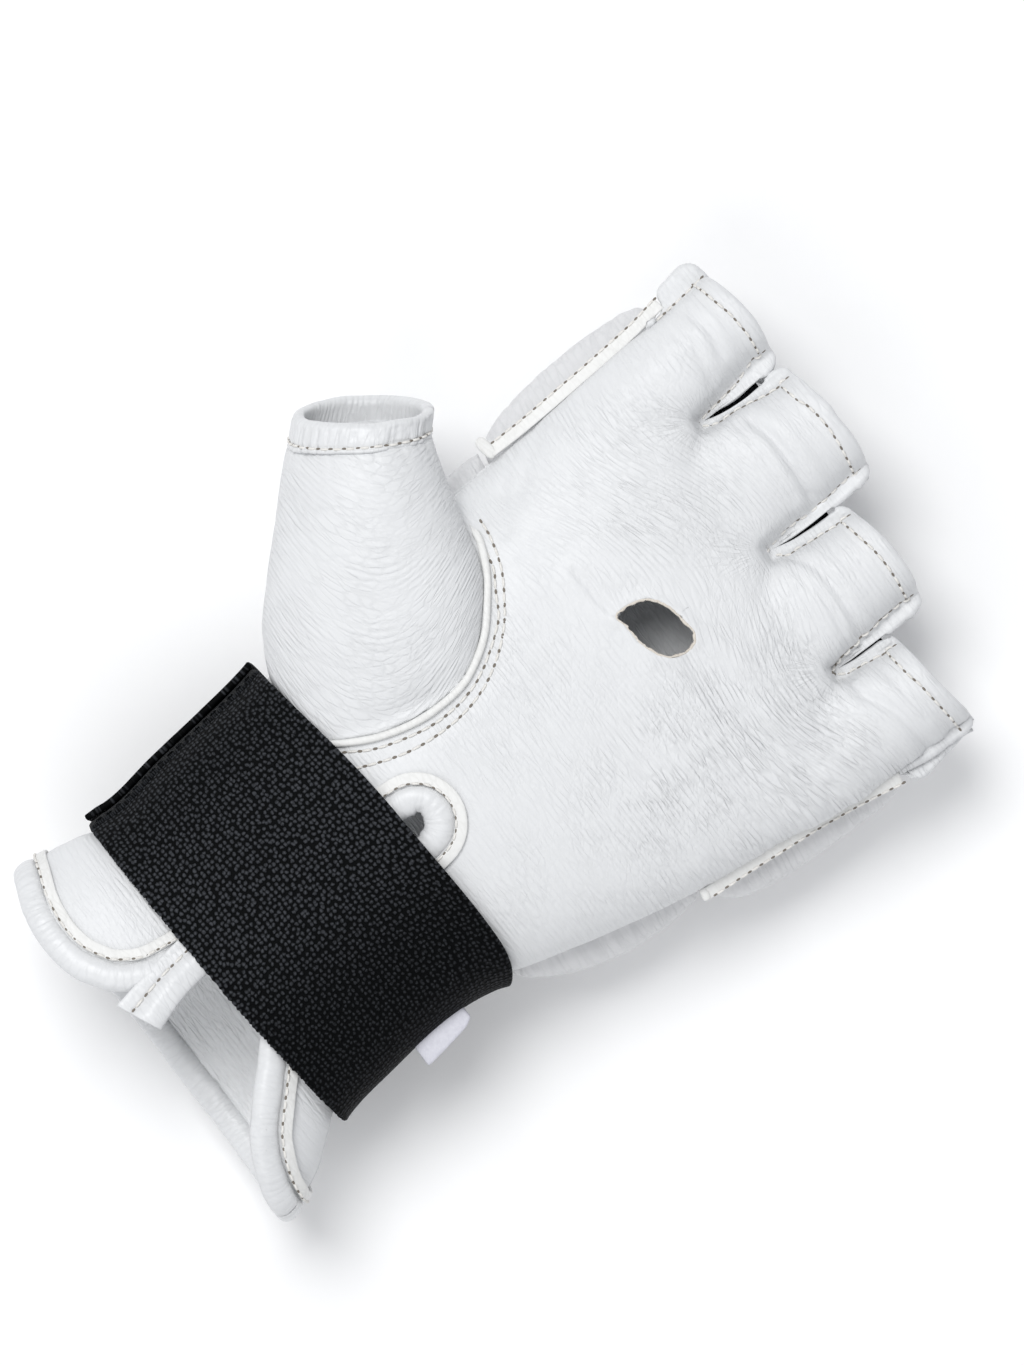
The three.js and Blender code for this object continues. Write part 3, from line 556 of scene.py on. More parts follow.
def needle_holes(lines, pitch, size, sink=0.18):
    """Small dents between the stitches, one at each end of a stitch, painted dark as the shade inside each hole."""
    parts = []
    around = 8
    ring = 2 * np.pi * np.arange(around) / around
    for points, up in lines:
        along = np.concatenate([[0], np.cumsum(np.linalg.norm(np.diff(points, axis=0), axis=1))])
        count = max(1, int(along[-1] / pitch))
        step = along[-1] / count
        at = step * np.arange(count + 1)
        centre = np.column_stack([np.interp(at, along, points[:, i]) for i in range(3)])
        normal = unit(np.column_stack([np.interp(at, along, up[:, i]) for i in range(3)]))
        ahead = np.column_stack([np.interp(at + 0.2, along, points[:, i]) - np.interp(at - 0.2, along, points[:, i])
                                 for i in range(3)])
        direction = unit(ahead - normal * np.sum(ahead * normal, axis=1, keepdims=True))
        side = np.cross(normal, direction)
        for c, d, s, n in zip(centre, direction, side, normal):
            rim = c + n * 0.05 + (np.cos(ring)[:, None] * d * size[0] + np.sin(ring)[:, None] * s * size[1])
            top = c + n * 0.12 + (np.cos(ring)[:, None] * d * size[0] + np.sin(ring)[:, None] * s * size[1]) * 0.62
            base = rim - n * (0.05 + sink)
            points_here = np.vstack([base, rim, top])
            faces_here = grid_faces(3, around, closed=True)
            lid = [[16, 17, 22, 23], [17, 18, 21, 22], [18, 19, 20, 21]]
            floor = [[7, 6, 1, 0], [6, 5, 2, 1], [5, 4, 3, 2]]
            parts.append((points_here, np.vstack([faces_here, lid, floor])))
    return join_parts(parts)
# Materials


def linear_colour(code):
    """An sRGB hex colour as linear values."""
    channels = [int(code[k:k + 2], 16) / 255 for k in (1, 3, 5)]
    return (*(c / 12.92 if c <= 0.04045 else ((c + 0.055) / 1.055) ** 2.4 for c in channels), 1.0)


def add_node(tree, kind, inputs=None, out=0, **settings):
    """Adds a node, gives its inputs values or sockets, and returns one of its outputs."""
    made = tree.nodes.new(kind)
    for key, value in settings.items():
        setattr(made, key, value)
    for key, value in (inputs or {}).items():
        if isinstance(value, bpy.types.NodeSocket):
            tree.links.new(value, made.inputs[key])
        else:
            made.inputs[key].default_value = value
    return made.outputs[out] if made.outputs else None


def new_material(name):
    """An empty material, its node tree, and the inputs of its shader."""
    material = bpy.data.materials.new(name)
    material.use_nodes = True
    tree = material.node_tree
    tree.nodes.clear()
    surface = add_node(tree, "ShaderNodeBsdfPrincipled")
    add_node(tree, "ShaderNodeOutputMaterial", {"Surface": surface})
    return material, tree, surface.node.inputs


def pattern_place(tree, size, turn=0.0, attribute=None):
    """A place in pattern units. size gives the millimetres of one unit along X, Y and Z."""
    if attribute:
        place = add_node(tree, "ShaderNodeAttribute", out="Vector", attribute_name=attribute)
        scale = tuple(1 / s for s in size)
    else:
        place = add_node(tree, "ShaderNodeTexCoord", out="Object")
        scale = tuple(MM / s for s in size)
    turned = add_node(tree, "ShaderNodeVectorRotate", {"Vector": place, "Angle": turn}, rotation_type="Z_AXIS")
    return add_node(tree, "ShaderNodeVectorMath", {0: turned, 1: scale}, operation="MULTIPLY")


def creases(tree, place, wander, width):
    """A net of fine creases: 1 in a crease and 0 beside it. width is a share of the cells between them."""
    drift = add_node(tree, "ShaderNodeTexNoise", {"Vector": place, "Scale": 0.7, "Detail": 2.0}, out="Color")
    moved = add_node(tree, "ShaderNodeVectorMath", {0: drift, 1: (wander,) * 3, 2: place}, operation="MULTIPLY_ADD")
    gap = add_node(tree, "ShaderNodeTexVoronoi", {"Vector": moved, "Scale": 1.0}, out="Distance",
                   feature="DISTANCE_TO_EDGE")
    return add_node(tree, "ShaderNodeMapRange", {"Value": gap, "From Max": width, "To Min": 1.0, "To Max": 0.0},
                    interpolation_type="SMOOTHSTEP")


def patchy(tree, value, size, least=0.0):
    """The value, fading to its least share in patches of the given size in millimetres."""
    patches = add_node(tree, "ShaderNodeTexNoise", {
        "Vector": pattern_place(tree, (size,) * 3), "Scale": 1.0, "Detail": 1.0})
    share = add_node(tree, "ShaderNodeMapRange", {"Value": patches, "From Min": 0.4, "From Max": 0.6, "To Min": least})
    return add_node(tree, "ShaderNodeMath", {0: value, 1: share}, operation="MULTIPLY")


def leather(name, colour, shade, lie=(5.0, 1.1, 5.0), net=(2.6, 1.2, 2.6), crease=0.1, swell=0.12, grain=0.02,
            gloss=0.46):
    """Full-grain leather. lie and net are the sizes of its long creases and of the fine net between, in millimetres.

    A piece carries crease_place, whose X runs along its creases in millimetres, and an attribute for how creased it is;
    on woven pieces the same attribute gives the share of painted glint.
    """
    material, tree, shader = new_material(name)
    wear_and_glint = add_node(tree, "ShaderNodeAttribute", out="Fac", attribute_name="wrinkle")
    fan_share = add_node(tree, "ShaderNodeAttribute", out="Fac", attribute_name="fan_share")
    long = patchy(tree, creases(tree, pattern_place(tree, lie, attribute="crease_place"), 1.2, 0.22), 9.0, 0.5)
    fine = patchy(tree, creases(tree, pattern_place(tree, net, 0.5, attribute="crease_place"), 0.9, 0.2), 13.0, 0.2)
    fans = creases(tree, pattern_place(tree, (1.0, 1.0, 1.0), attribute="fan_place"), 1.5, 0.2)
    fanned = add_node(tree, "ShaderNodeMath", {0: fans, 1: fan_share}, operation="MULTIPLY")
    lines = add_node(tree, "ShaderNodeMath", {0: fine, 1: 0.4, 2: long}, operation="MULTIPLY_ADD")
    lines = add_node(tree, "ShaderNodeMath", {0: lines, 1: wear_and_glint, 2: fanned}, operation="MULTIPLY_ADD")
    waves = add_node(tree, "ShaderNodeTexWave", {
        "Vector": pattern_place(tree, (9.0, lie[1], 9.0), attribute="crease_place"), "Scale": 0.32, "Distortion": 7.0,
        "Detail": 2.0, "Detail Scale": 0.5}, out="Fac", bands_direction="Y")
    waves = patchy(tree, add_node(tree, "ShaderNodeMath", {0: waves, 1: wear_and_glint}, operation="MULTIPLY"), 11.0)
    soft = add_node(tree, "ShaderNodeTexNoise", {
        "Vector": pattern_place(tree, (2.2 * lie[0], 2.0 * lie[1], 2.2 * lie[2]), attribute="crease_place"),
        "Scale": 1.0, "Detail": 2.0})
    pores = add_node(tree, "ShaderNodeTexVoronoi", {"Vector": pattern_place(tree, (0.6,) * 3), "Scale": 1.0},
                     feature="SMOOTH_F1")
    height = add_node(tree, "ShaderNodeMath", {0: soft, 1: swell, 2: 0.0}, operation="MULTIPLY_ADD")
    height = add_node(tree, "ShaderNodeMath", {0: pores, 1: grain, 2: height}, operation="MULTIPLY_ADD")
    height = add_node(tree, "ShaderNodeMath", {0: waves, 1: 1.1 * crease, 2: height}, operation="MULTIPLY_ADD")
    height = add_node(tree, "ShaderNodeMath", {0: lines, 1: -crease, 2: height}, operation="MULTIPLY_ADD")
    # painted shade: the creases are painted towards the darker shade colour, as if in shadow
    shadow = add_node(tree, "ShaderNodeMath", {0: lines, 1: 0.3}, operation="MULTIPLY", use_clamp=True)
    paint = add_node(tree, "ShaderNodeMix", {"Factor": shadow, 6: linear_colour(colour), 7: linear_colour(shade)},
                     out=2, data_type="RGBA")
    sheen = add_node(tree, "ShaderNodeMapRange", {"Value": pores, "To Min": gloss - 0.06, "To Max": gloss + 0.1})
    tree.links.new(paint, shader["Base Color"])
    tree.links.new(sheen, shader["Roughness"])
    relief = add_node(tree, "ShaderNodeBump", {"Height": height, "Strength": 1.0, "Distance": 1 / MM})
    tree.links.new(relief, shader["Normal"])
    shader["IOR"].default_value = 1.48
    shader["Specular IOR Level"].default_value = 0.42
    return material


def fibre(name, colour, shade, pitch, depth, roughness):
    """A finely ribbed textile, such as twisted thread or a woven tape. pitch and depth are in millimetres."""
    material, tree, shader = new_material(name)
    ribs = add_node(tree, "ShaderNodeTexWave", {
        "Vector": pattern_place(tree, (pitch,) * 3), "Scale": 1 / math.pi, "Distortion": 1.2, "Detail": 2.0}, out="Fac",
        bands_direction="DIAGONAL")
    fuzz = add_node(tree, "ShaderNodeTexNoise", {
        "Vector": pattern_place(tree, (2 * pitch,) * 3), "Scale": 1.0, "Detail": 4.0})
    level = add_node(tree, "ShaderNodeMath", {0: ribs, 1: fuzz}, operation="ADD")
    paint = add_node(tree, "ShaderNodeMix", {"Factor": fuzz, 6: linear_colour(colour), 7: linear_colour(shade)}, out=2,
                     data_type="RGBA")
    tree.links.new(paint, shader["Base Color"])
    relief = add_node(tree, "ShaderNodeBump", {"Height": level, "Strength": 0.6, "Distance": depth / MM})
    tree.links.new(relief, shader["Normal"])
    shader["Roughness"].default_value = roughness
    return material


def woven(name, colour, glint, rib, knot, depth=0.3):
    """Woven polyester: rows of raised knots whose glints are painted as a lighter colour on their tops, drawn at the
    strap's own place along and across it in millimetres.

    A piece carries weave_place for that, and the same crease attribute as leather, here the share of painted glint on
    its knots.
    """
    material, tree, shader = new_material(name)
    place = add_node(tree, "ShaderNodeAttribute", out="Vector", attribute_name="weave_place")
    drift = add_node(tree, "ShaderNodeTexNoise", {"Vector": place, "Scale": 0.9, "Detail": 3.0}, out="Color")
    place = add_node(tree, "ShaderNodeVectorMath", {0: drift, 1: (0.9, 0.35, 0.0), 2: place}, operation="MULTIPLY_ADD")
    cells = add_node(tree, "ShaderNodeVectorMath", {0: place, 1: (1 / knot, 1 / rib, 0.0)}, operation="MULTIPLY")
    knots = add_node(tree, "ShaderNodeTexVoronoi", {"Vector": cells, "Scale": 1.0, "Randomness": 0.5},
                     voronoi_dimensions="2D")
    raised = add_node(tree, "ShaderNodeMapRange", {
        "Value": knots, "From Min": 0.1, "From Max": 0.62, "To Min": 1.0, "To Max": 0.0},
        interpolation_type="SMOOTHSTEP")
    fuzz = add_node(tree, "ShaderNodeTexNoise", {"Vector": cells, "Scale": 2.6, "Detail": 3.0})
    lit = add_node(tree, "ShaderNodeMath", {0: raised, 1: fuzz}, operation="MULTIPLY")
    shiny = add_node(tree, "ShaderNodeAttribute", out="Fac", attribute_name="wrinkle")
    lit = add_node(tree, "ShaderNodeMath", {0: lit, 1: shiny}, operation="MULTIPLY")
    # painted highlight: the knots that catch the light are painted in the lighter glint colour
    wear_and_glint = add_node(tree, "ShaderNodeMapRange", {"Value": lit, "From Min": 0.12, "From Max": 0.62})
    height = add_node(tree, "ShaderNodeMath", {0: fuzz, 1: 0.5, 2: raised}, operation="MULTIPLY_ADD")
    paint = add_node(tree, "ShaderNodeMix", {"Factor": wear_and_glint, 6: linear_colour(colour), 7: linear_colour(glint)}, out=2,
                     data_type="RGBA")
    tree.links.new(paint, shader["Base Color"])
    relief = add_node(tree, "ShaderNodeBump", {"Height": height, "Strength": 1.0, "Distance": depth / MM})
    tree.links.new(relief, shader["Normal"])
    shader["Roughness"].default_value = 0.6
    shader["Specular IOR Level"].default_value = 0.05
    return material


def make_looks():
    """Every material of the glove."""
    hide, pads, tape, elastic, tab = (glove_colour(key) for key in ("leather", "pads", "tape", "elastic", "tab"))
    # White full-grain cowhide, drum-dyed and lightly plated: a soft satin with fine crosswise creases
    leather("full_grain_leather_white", hide, "#CDCECF")
    # The same hide over the ball of the thumb, where longer creases show
    leather("full_grain_leather_thumb", hide, "#CDCECF", lie=(4.2, 1.5, 4.2), crease=0.075, swell=0.14)
    # Hide stretched over foam: fewer and softer creases, which run across the roll
    leather("stretched_leather_white", pads, "#CBCCCD", lie=(6.0, 1.5, 6.0), crease=0.07, swell=0.18, gloss=0.42)
    # A strip of hide turned over a soft core: smooth, with a slight gloss on its crown
    leather("turned_leather_white", hide, "#CFD0D1", lie=(5.0, 1.5, 5.0), crease=0.045, swell=0.08, gloss=0.36)
    # Narrow strips cut across the hide: a matt face, a little creamier than the rest
    leather("skived_leather_cream", tape, "#D6D5D2", lie=(3.0, 1.3, 3.0), crease=0.03, swell=0.05, gloss=0.55)
    # Bonded polyester thread: a fine diagonal twist, drawn a little coarser than it is
    fibre("bonded_polyester_thread", "#F3F1ED", "#DEDBD5", 0.3, 0.05, 0.6)
    # Leather punched by the needle: the holes are painted dark grey-brown, painted shade inside each hole
    fibre("punched_leather_edge", "#8D857B", "#6A635B", 0.3, 0.02, 0.9)
    # The flesh side of the hide where the palm hole is cut: fuzzy and a little yellow
    fibre("raw_suede_edge", "#E9E4DC", "#CFC5B7", 0.35, 0.08, 0.95)
    # Woven polyester elastic: ribs of raised knots, with their glints painted as a lighter colour on the knot tops
    woven("woven_elastic_black", elastic, "#424448", 0.95, 1.1)
    # Polyester ribbon folded over the elastic's end: a close weave, with glints painted lighter on its knots
    woven("polyester_ribbon_black", elastic, "#303236", 0.5, 0.7, depth=0.15)
    # Woven polyester tape, folded in two: a smooth cool white
    fibre("woven_polyester_tab", tab, "#C6C6D0", 0.4, 0.04, 0.5)


def look(name):
    """A material by name. All of them are made when the first one is asked for."""
    if name not in bpy.data.materials:
        make_looks()
    return bpy.data.materials[name]


# Palm and back panels

STRIP_COLUMNS = (40, 48, 46, 42)  # grid columns of the four finger widths
# Plan outlines of each finger sleeve from its crotch: left side, mouth from left to right, and right side
SLEEVES = {
    "index": (
        [(-38.9, 57.0), (-40.0, 58.3), (-42.7, 59.2), (-43.3, 61.5), (-43.8, 65.0), (-43.4, 66.9)],
        [(-43.4, 66.9), (-42.2, 67.7), (-38, 68.3), (-35, 69), (-30, 69.6), (-25, 69.8), (-20.5, 69.3), (-18.6, 69.0),
         (-17.5, 68.1)],
        [(-16.95, 53), (-16.75, 58), (-16.8, 62), (-16.95, 65.6), (-17.5, 68.1)],
    ),
    "middle": (
        [(-16.0, 53), (-15.4, 58), (-15.3, 63), (-15.6, 66.6), (-15.3, 68.8)],
        [(-15.3, 68.8), (-14.4, 69.6), (-10, 70.2), (-4, 71), (-1, 70.7), (5, 70.9), (9.5, 70.2), (11.0, 69.7),
         (11.7, 68.9)],
        [(12.4, 50), (12.6, 56), (12.4, 62), (12.1, 66), (11.7, 68.9)],
    ),
    "ring": (
        [(13.2, 50), (13.8, 55), (13.9, 59), (14.2, 60.7)],
        [(14.2, 60.7), (15.2, 61.6), (19, 62.5), (25, 63.3), (33, 63.2), (36, 62.6), (38.0, 61.9), (38.7, 61.1)],
        [(39.1, 45), (39.25, 52), (39.1, 58), (38.7, 61.1)],
    ),
    "little": (
        [(39.9, 44.5), (40.3, 50.2), (40.5, 52.3)],
        [(40.5, 52.3), (41.3, 52.9), (43, 53.2), (50, 53.8), (55, 54.2), (60, 54.8), (62.8, 55.3), (64.0, 54.9)],
        [(63.2, 39), (63.8, 43), (64.2, 48), (64.4, 53), (64.0, 54.9)],
    ),
}
LITTLE_BACK_SIDE = [(64.6, 38.6), (66.4, 41), (66.2, 44), (65.4, 48.5), (64.6, 53.8)]
# Stitch rows of the finger sleeves, in plan: down the left side, along the hem, and down the right side
FINGER_SEAMS = {
    "index_left": [(-40.0, 67.6), (-39.6, 64.4), (-39, 58), (-38.7, 54.5)],
    "index_hem": [(-39.8, 65.3), (-35, 66.1), (-30.5, 67), (-25.5, 67.3), (-20.8, 67)],
    "index_right": [(-20.4, 68.2), (-20, 64.5), (-18.9, 60), (-18.4, 57), (-17.8, 52), (-17.3, 49.3)],
    "middle_left": [(-13.4, 68.6), (-13.7, 62), (-14.4, 55.5), (-15.1, 51), (-16.6, 49.0)],
    "middle_hem": [(-12.9, 66.6), (-8.5, 67.2), (-6.3, 68.0), (-1.5, 68.5), (3.5, 68.2), (9.4, 67.3)],
    "middle_right": [(9.7, 68.6), (10.2, 60), (10.5, 54), (10.8, 48), (11.3, 45), (11.9, 43.8)],
    "ring_left": [(16.3, 61.2), (16, 58), (15.6, 55), (15.2, 50), (14.6, 46.4), (12.8, 44.4)],
    "ring_hem": [(16.5, 59.2), (21, 60), (26, 60.7), (31, 60.6), (36, 60)],
    "ring_right": [(36.2, 61.4), (36.4, 54), (36.8, 47), (37.4, 42), (38.9, 39.2)],
    "little_left": [(42.6, 52.4), (42.1, 48), (41.6, 44), (40.6, 41), (39.4, 39.4)],
    "little_hem": [(42.5, 50.2), (47.2, 50.5), (52, 51.3), (56, 51.7), (60.5, 52.2), (63.8, 52.5)],
}
CROTCHES = [(-17.05, 49.2), (11.8, 44.0), (38.8, 39.6)]
SLITS = [((-16.5, 51.5), (-16.1, 63.2)), ((12.5, 46.5), (13.1, 58.4)), ((39.4, 42.0), (39.75, 51.4))]
# Folds across the sleeves and palm: points, depth and half width in millimetres
FOLDS = [
    ([(-11, 57.2), (-5, 58.6), (2, 58.3), (8, 57.4)], 0.9, 1.4),
    ([(-12, 54.3), (-4, 55), (6, 54.6)], 0.4, 1.0),
    ([(-36, 60.5), (-31, 61.4), (-25, 60.6)], 0.4, 1.0),
    ([(-34, 56), (-28, 57), (-22, 56)], 0.25, 1.2),
    ([(15.4, 46.4), (20, 49), (30, 49.3), (36, 48)], 0.6, 1.2),
    ([(18, 45.6), (24, 46.5), (30, 46.4), (36, 45)], 0.4, 1.0),
    ([(41.5, 41), (46, 41), (50, 43), (55, 44.5), (62, 45)], 0.6, 1.4),
    ([(44, 47), (50, 47.6), (57, 48.4)], 0.25, 1.0),
    ([(-9, 10.6), (-3, 11.0), (2.6, 11.3)], 0.35, 0.8),
    ([(18, 19.5), (26, 22), (34, 26), (42, 30), (50, 33.5)], 0.45, 1.8),
    ([(22, 15.6), (32, 17), (42, 20.5), (52, 25)], 0.3, 1.5),
    ([(18, 18), (30, 18.6), (44, 20.5), (57, 24)], 0.6, 3.0),
    ([(30, 9), (40, 11), (50, 14.5), (57, 18)], 0.3, 1.5),
    ([(-34, 12), (-30, 8), (-24, 4.5)], 0.4, 2.0),
    ([(-36, 22), (-33, 17), (-29, 12)], 0.3, 1.8),
]
HOLE = [
    (3.0, 11.4), (2.6, 13.2), (2.7, 15.2), (3.3, 17.2), (4.4, 19.0), (5.9, 20.4), (7.8, 21.3), (10.2, 21.8),
    (12.8, 22.2), (15.2, 22.3), (16.7, 21.5), (17.6, 20.0), (17.8, 18.3), (17.3, 16.4), (16.2, 14.8),
    (14.6, 13.5), (12.6, 12.6), (10.4, 12.1), (8.0, 11.9), (5.5, 11.8),
]
SLIT_TOP = (11.2, -45.2, 4.9)  # centre and radius of the slit's round end
ROLL_LEFT = [(6, -50), (4.8, -70), (3.8, -90), (3, -99), (1.6, -106), (-1.8, -111.4), (-4.4, -113.4), (-8.9, -115.6),
             (-15, -116.5), (-21.6, -115.7), (-26.9, -113.9)]
ROLL_RIGHT = [(55, -113.2), (50.6, -112.2), (46.1, -110.3), (41.7, -107.7), (37, -103.4), (32, -98.4), (27.4, -93.4),
              (22.8, -82), (19, -65), (17, -52)]
CUFF_BACK_Y = -113.5
# Stitch rows round the thumb seam on the palm
THUMB_ROWS = [
    [(-27, -0.4), (-20, -1.5), (-15, -4.5), (-11, -7), (-7.5, -11.5), (-4, -17.5), (-2.3, -24), (-2.3, -30.3),
     (-3.7, -37), (-6, -43.3), (-9, -48), (-12, -53)],
    [(-29, 2.2), (-25, 1.7), (-19, -0.2), (-14, -3.2), (-9, -7.2), (-5, -12), (-2, -17.5), (-0.3, -23.9), (-0.1, -30.5),
     (-0.9, -37), (-2.9, -43.3), (-5.4, -49)],
]


def slit_arc(count=9):
    """Points round the top of the slit, from its right side to its left."""
    x, y, radius = SLIT_TOP
    angle = np.linspace(0, math.pi, count)
    return list(zip(x + radius * np.cos(angle), y + radius * np.sin(angle)))


def hole_outline():
    """The palm hole's worn outline, slightly torn."""
    line = smooth_line(HOLE, spacing=0.5, closed=True)
    torn = noise(np.arange(len(line)) / 2.3, np.zeros(len(line)), 15) - 0.5
    return line + unit(line - line.mean(axis=0)) * 0.45 * torn[:, None]


def cuff_opening():
    """Outline of what is cut away below the flaps and in the slit."""
    line = smooth_line([*ROLL_RIGHT, *slit_arc(), *ROLL_LEFT], spacing=0.8)
    return np.vstack([line, [(-90, line[-1][1]), (-90, -190), (110, -190), (110, line[0][1])]])


def distance_to_line(x, y, line):
    """Distance of plan points from an open line."""
    flat = np.column_stack([np.ravel(x), np.ravel(y)])
    nearest = np.full(len(flat), np.inf)
    for a, b in zip(line[:-1], line[1:]):
        edge = b - a
        t = np.clip(((flat - a) @ edge) / max(edge @ edge, 1e-12), 0, 1)
        nearest = np.minimum(nearest, np.linalg.norm(flat - a - t[:, None] * edge, axis=1))
    return nearest.reshape(np.shape(x))


def cut_plan(plan, faces, distance):
    """Cuts a plan grid where distance is negative. Points just outside the cut move onto its line."""
    level = distance(plan[:, 0], plan[:, 1])
    inside = level > 0
    kept = faces[inside[faces].any(axis=1)]
    moving = np.unique(kept)
    near_line = level < 0.12
    moving = moving[near_line[moving]]
    step = 0.05
    for _ in range(3):
        x, y = plan[moving, 0], plan[moving, 1]
        here = distance(x, y)
        slope = np.column_stack([distance(x + step, y) - distance(x - step, y),
                                 distance(x, y + step) - distance(x, y - step)])
        plan[moving] -= unit(slope) * here[:, None]
    return plan, kept


def finger_grid(bottom, left, mouth, right, rows):
    """A grid of plan points that fills the outline of a finger sleeve. bottom has the palm's own points."""
    columns = len(bottom)
    left = smooth_line([tuple(bottom[0]), *left], count=rows)
    right = smooth_line([tuple(bottom[-1]), *right], count=rows)
    fine = smooth_line(mouth, count=400)
    along = np.concatenate([[0], np.cumsum(np.linalg.norm(np.diff(fine, axis=0), axis=1))])
    across = (bottom[:, 0] - bottom[0, 0]) / (bottom[-1, 0] - bottom[0, 0])
    top = np.column_stack([np.interp(across * along[-1], along, fine[:, k]) for k in range(2)])
    t = np.linspace(0, 1, rows)[:, None, None]
    u = across[None, :, None]
    sides = mix(left[:, None], right[:, None], u)
    ends = mix(bottom[None], top[None], t)
    corners = mix(mix(bottom[0], bottom[-1], u), mix(top[0], top[-1], u), t)
    grid = sides + ends - corners
    return grid.reshape(rows, columns, 2)


def panel_plan(side):
    """Plan points and faces of a whole panel: hand, cuff and the four finger sleeves."""
    stations = np.concatenate([
        np.arange(-121.5, -97, 0.62), np.arange(-97, -51, 1.5), np.arange(-51, 40, 0.68),
        np.linspace(40.2, CROTCH_STATION, 12)])
    strips = zip(CROTCH_SHARES[:-1], CROTCH_SHARES[1:], STRIP_COLUMNS)
    shares = [mix(a, b, ease(0, 1, np.arange(n) / n)) for a, b, n in strips]
    shares = np.concatenate([*shares, [1.0]])
    row = follow(HAND_TABLE, stations)
    x = mix(row[:, LEFT][:, None], row[:, RIGHT][:, None], shares[None])
    y = stations[:, None] + slant(stations)[:, None] * x
    palm = np.stack([x, y], axis=-1)
    points = [palm.reshape(-1, 2)]
    faces = [grid_faces(len(stations), len(shares))]
    total = palm.shape[0] * palm.shape[1]
    start = 0
    for (name, (left, mouth, right)), columns in zip(SLEEVES.items(), STRIP_COLUMNS):
        bottom = palm[-1, start:start + columns + 1]
        if side < 0 and name == "little":
            right, mouth = LITTLE_BACK_SIDE, [*mouth[:-1], LITTLE_BACK_SIDE[-1]]
        rows = int((np.mean([m[1] for m in mouth]) - bottom[:, 1].mean()) / 0.6)
        grid = finger_grid(bottom, left, mouth, right, rows)
        points.append(grid.reshape(-1, 2))
        faces.append(grid_faces(rows, columns + 1) + total)
        total += rows * (columns + 1)
        start += columns
    points = np.vstack(points)
    rounded = np.round(points * 1e5).astype(np.int64)
    _, first, inverse = np.unique(rounded, axis=0, return_index=True, return_inverse=True)
    return points[first], inverse.reshape(-1)[np.vstack(faces)]


def mouth_distance(x, y):
    """Distance from the mouth of the nearest finger sleeve, measured along the finger."""
    result = np.full(np.shape(x), 99.0)
    for _, mouth, _ in SLEEVES.values():
        line = smooth_line(mouth, count=120)
        over = (x >= mouth[0][0] - 0.6) & (x <= mouth[-1][0] + 0.6) & (y > 34)
        result = np.where(over, np.minimum(result, distance_to_line(x, y, line)), result)
    return result


def seam_lines():
    """Every stitch row on the palm side, as evenly spaced plan points."""
    return [smooth_line(points, spacing=0.9) for points in (*FINGER_SEAMS.values(), *THUMB_ROWS)]


def crotch_polar(x, y, crotch):
    """Distance from a finger crotch and the angle round it, from straight down, so that the turn falls in the slit."""
    dx, dy = x - crotch[0], y - crotch[1]
    return np.hypot(dx, dy), np.arctan2(dx, -dy)


def fan_field(x, y):
    """Creases that spread from the finger crotches, longest towards the thumb: their strength and their place."""
    shares, places = [], []
    for k, crotch in enumerate(CROTCHES):
        reach, angle = crotch_polar(x, y, crotch)
        length = mix(9.0, 25.0, hump(-0.8, 0.6, angle))
        shares.append(ease(1.0, 0.15, reach / length) * ease(1.5, 6.5, reach))
        places.append(np.stack([reach / 5.0, angle * 7.0, np.full_like(reach, 3.1 * k)], axis=-1))
    ranked = np.sort(shares, axis=0)
    nearest = np.argmax(shares, axis=0)
    return ranked[-1] - ranked[-2], np.take_along_axis(np.array(places), nearest[None, :, None], axis=0)[0]


# Parts of the palm where creases climb towards the little finger: centre, half sizes and slope
CLIMBS = [(-12, 34, 24, 16, 0.5), (50, 31, 20, 15, 0.4), (-20, 12, 17, 10, 0.5), (8, 8, 16, 8, 0.12)]


def palm_lie(x, y):
    """A place on the palm whose X runs along the creases there."""
    across = np.array(y, float)
    for cx, cy, half_x, half_y, slope in CLIMBS:
        across -= slope * (x - cx) * hump(0, 1, np.hypot((x - cx) / half_x, (y - cy) / half_y))
    return np.stack([x, across, np.zeros_like(across)], axis=-1)


def palm_relief(x, y):
    """How far the palm's leather stands out from its smooth form: folds, creases, seams and hems."""
    relief = 0.7 * (noise(x / 24, y / 24, 6) - 0.5) + 0.2 * (noise(x / 9, y / 7, 8) - 0.5)
    relief -= 1.6 * hump(-31, 6, x) * hump(9, 11, y)
    for points, depth, width in FOLDS:
        away = distance_to_line(x, y + 0.7 * (noise(x / 4, y / 4, 5) - 0.5), smooth_line(points, spacing=1.0))
        relief += depth * (0.55 * hump(2.1 * width, 1.3 * width, away) - hump(0, 0.62 * width, away))
    for k, crotch in enumerate(CROTCHES):
        reach, angle = crotch_polar(x, y, crotch)
        lines = ridges(angle * 4.6 + 0.5 * noise(reach / 4, angle * 2, 9), reach / 16, 20 + k)
        towards_thumb = mix(0.5, 1.0, hump(-0.8, 0.7, angle))
        relief -= 0.24 * lines * towards_thumb * np.exp(-reach / 9.0) * ease(1.5, 5.0, reach)
    lie = palm_lie(x, y)
    along, across = lie[..., 0] + 5 * noise(x / 9, y / 9, 1), lie[..., 1] + 2.6 * noise(x / 11, y / 8, 2)
    mound = ease(12, 32, x) * ease(-14, 4, y) * ease(40, 26, y)
    below_fingers = hump(-12, 22, x) * hump(33, 12, y)
    strength = (0.04 + 0.2 * mound + 0.16 * below_fingers) * ease(50, 42, y)
    relief -= strength * ridges(along / 19, across / 2.5, 3)
    for line in seam_lines():
        away = distance_to_line(x, y, line)
        relief -= 0.34 * hump(0, 0.5, away) + 0.14 * hump(1.3, 0.7, away)
    edge = mouth_distance(x, y)
    hem = ease(3.5, 2.7, edge)
    relief += 0.5 * hem * (1 - 0.5 * hump(0, 0.7, edge)) + hem * 0.2 * (noise(x / 2.6, y / 2.6, 14) - 0.5)
    return relief + 0.35 * hump(0, 1.2, distance_inside(HOLE, x, y))


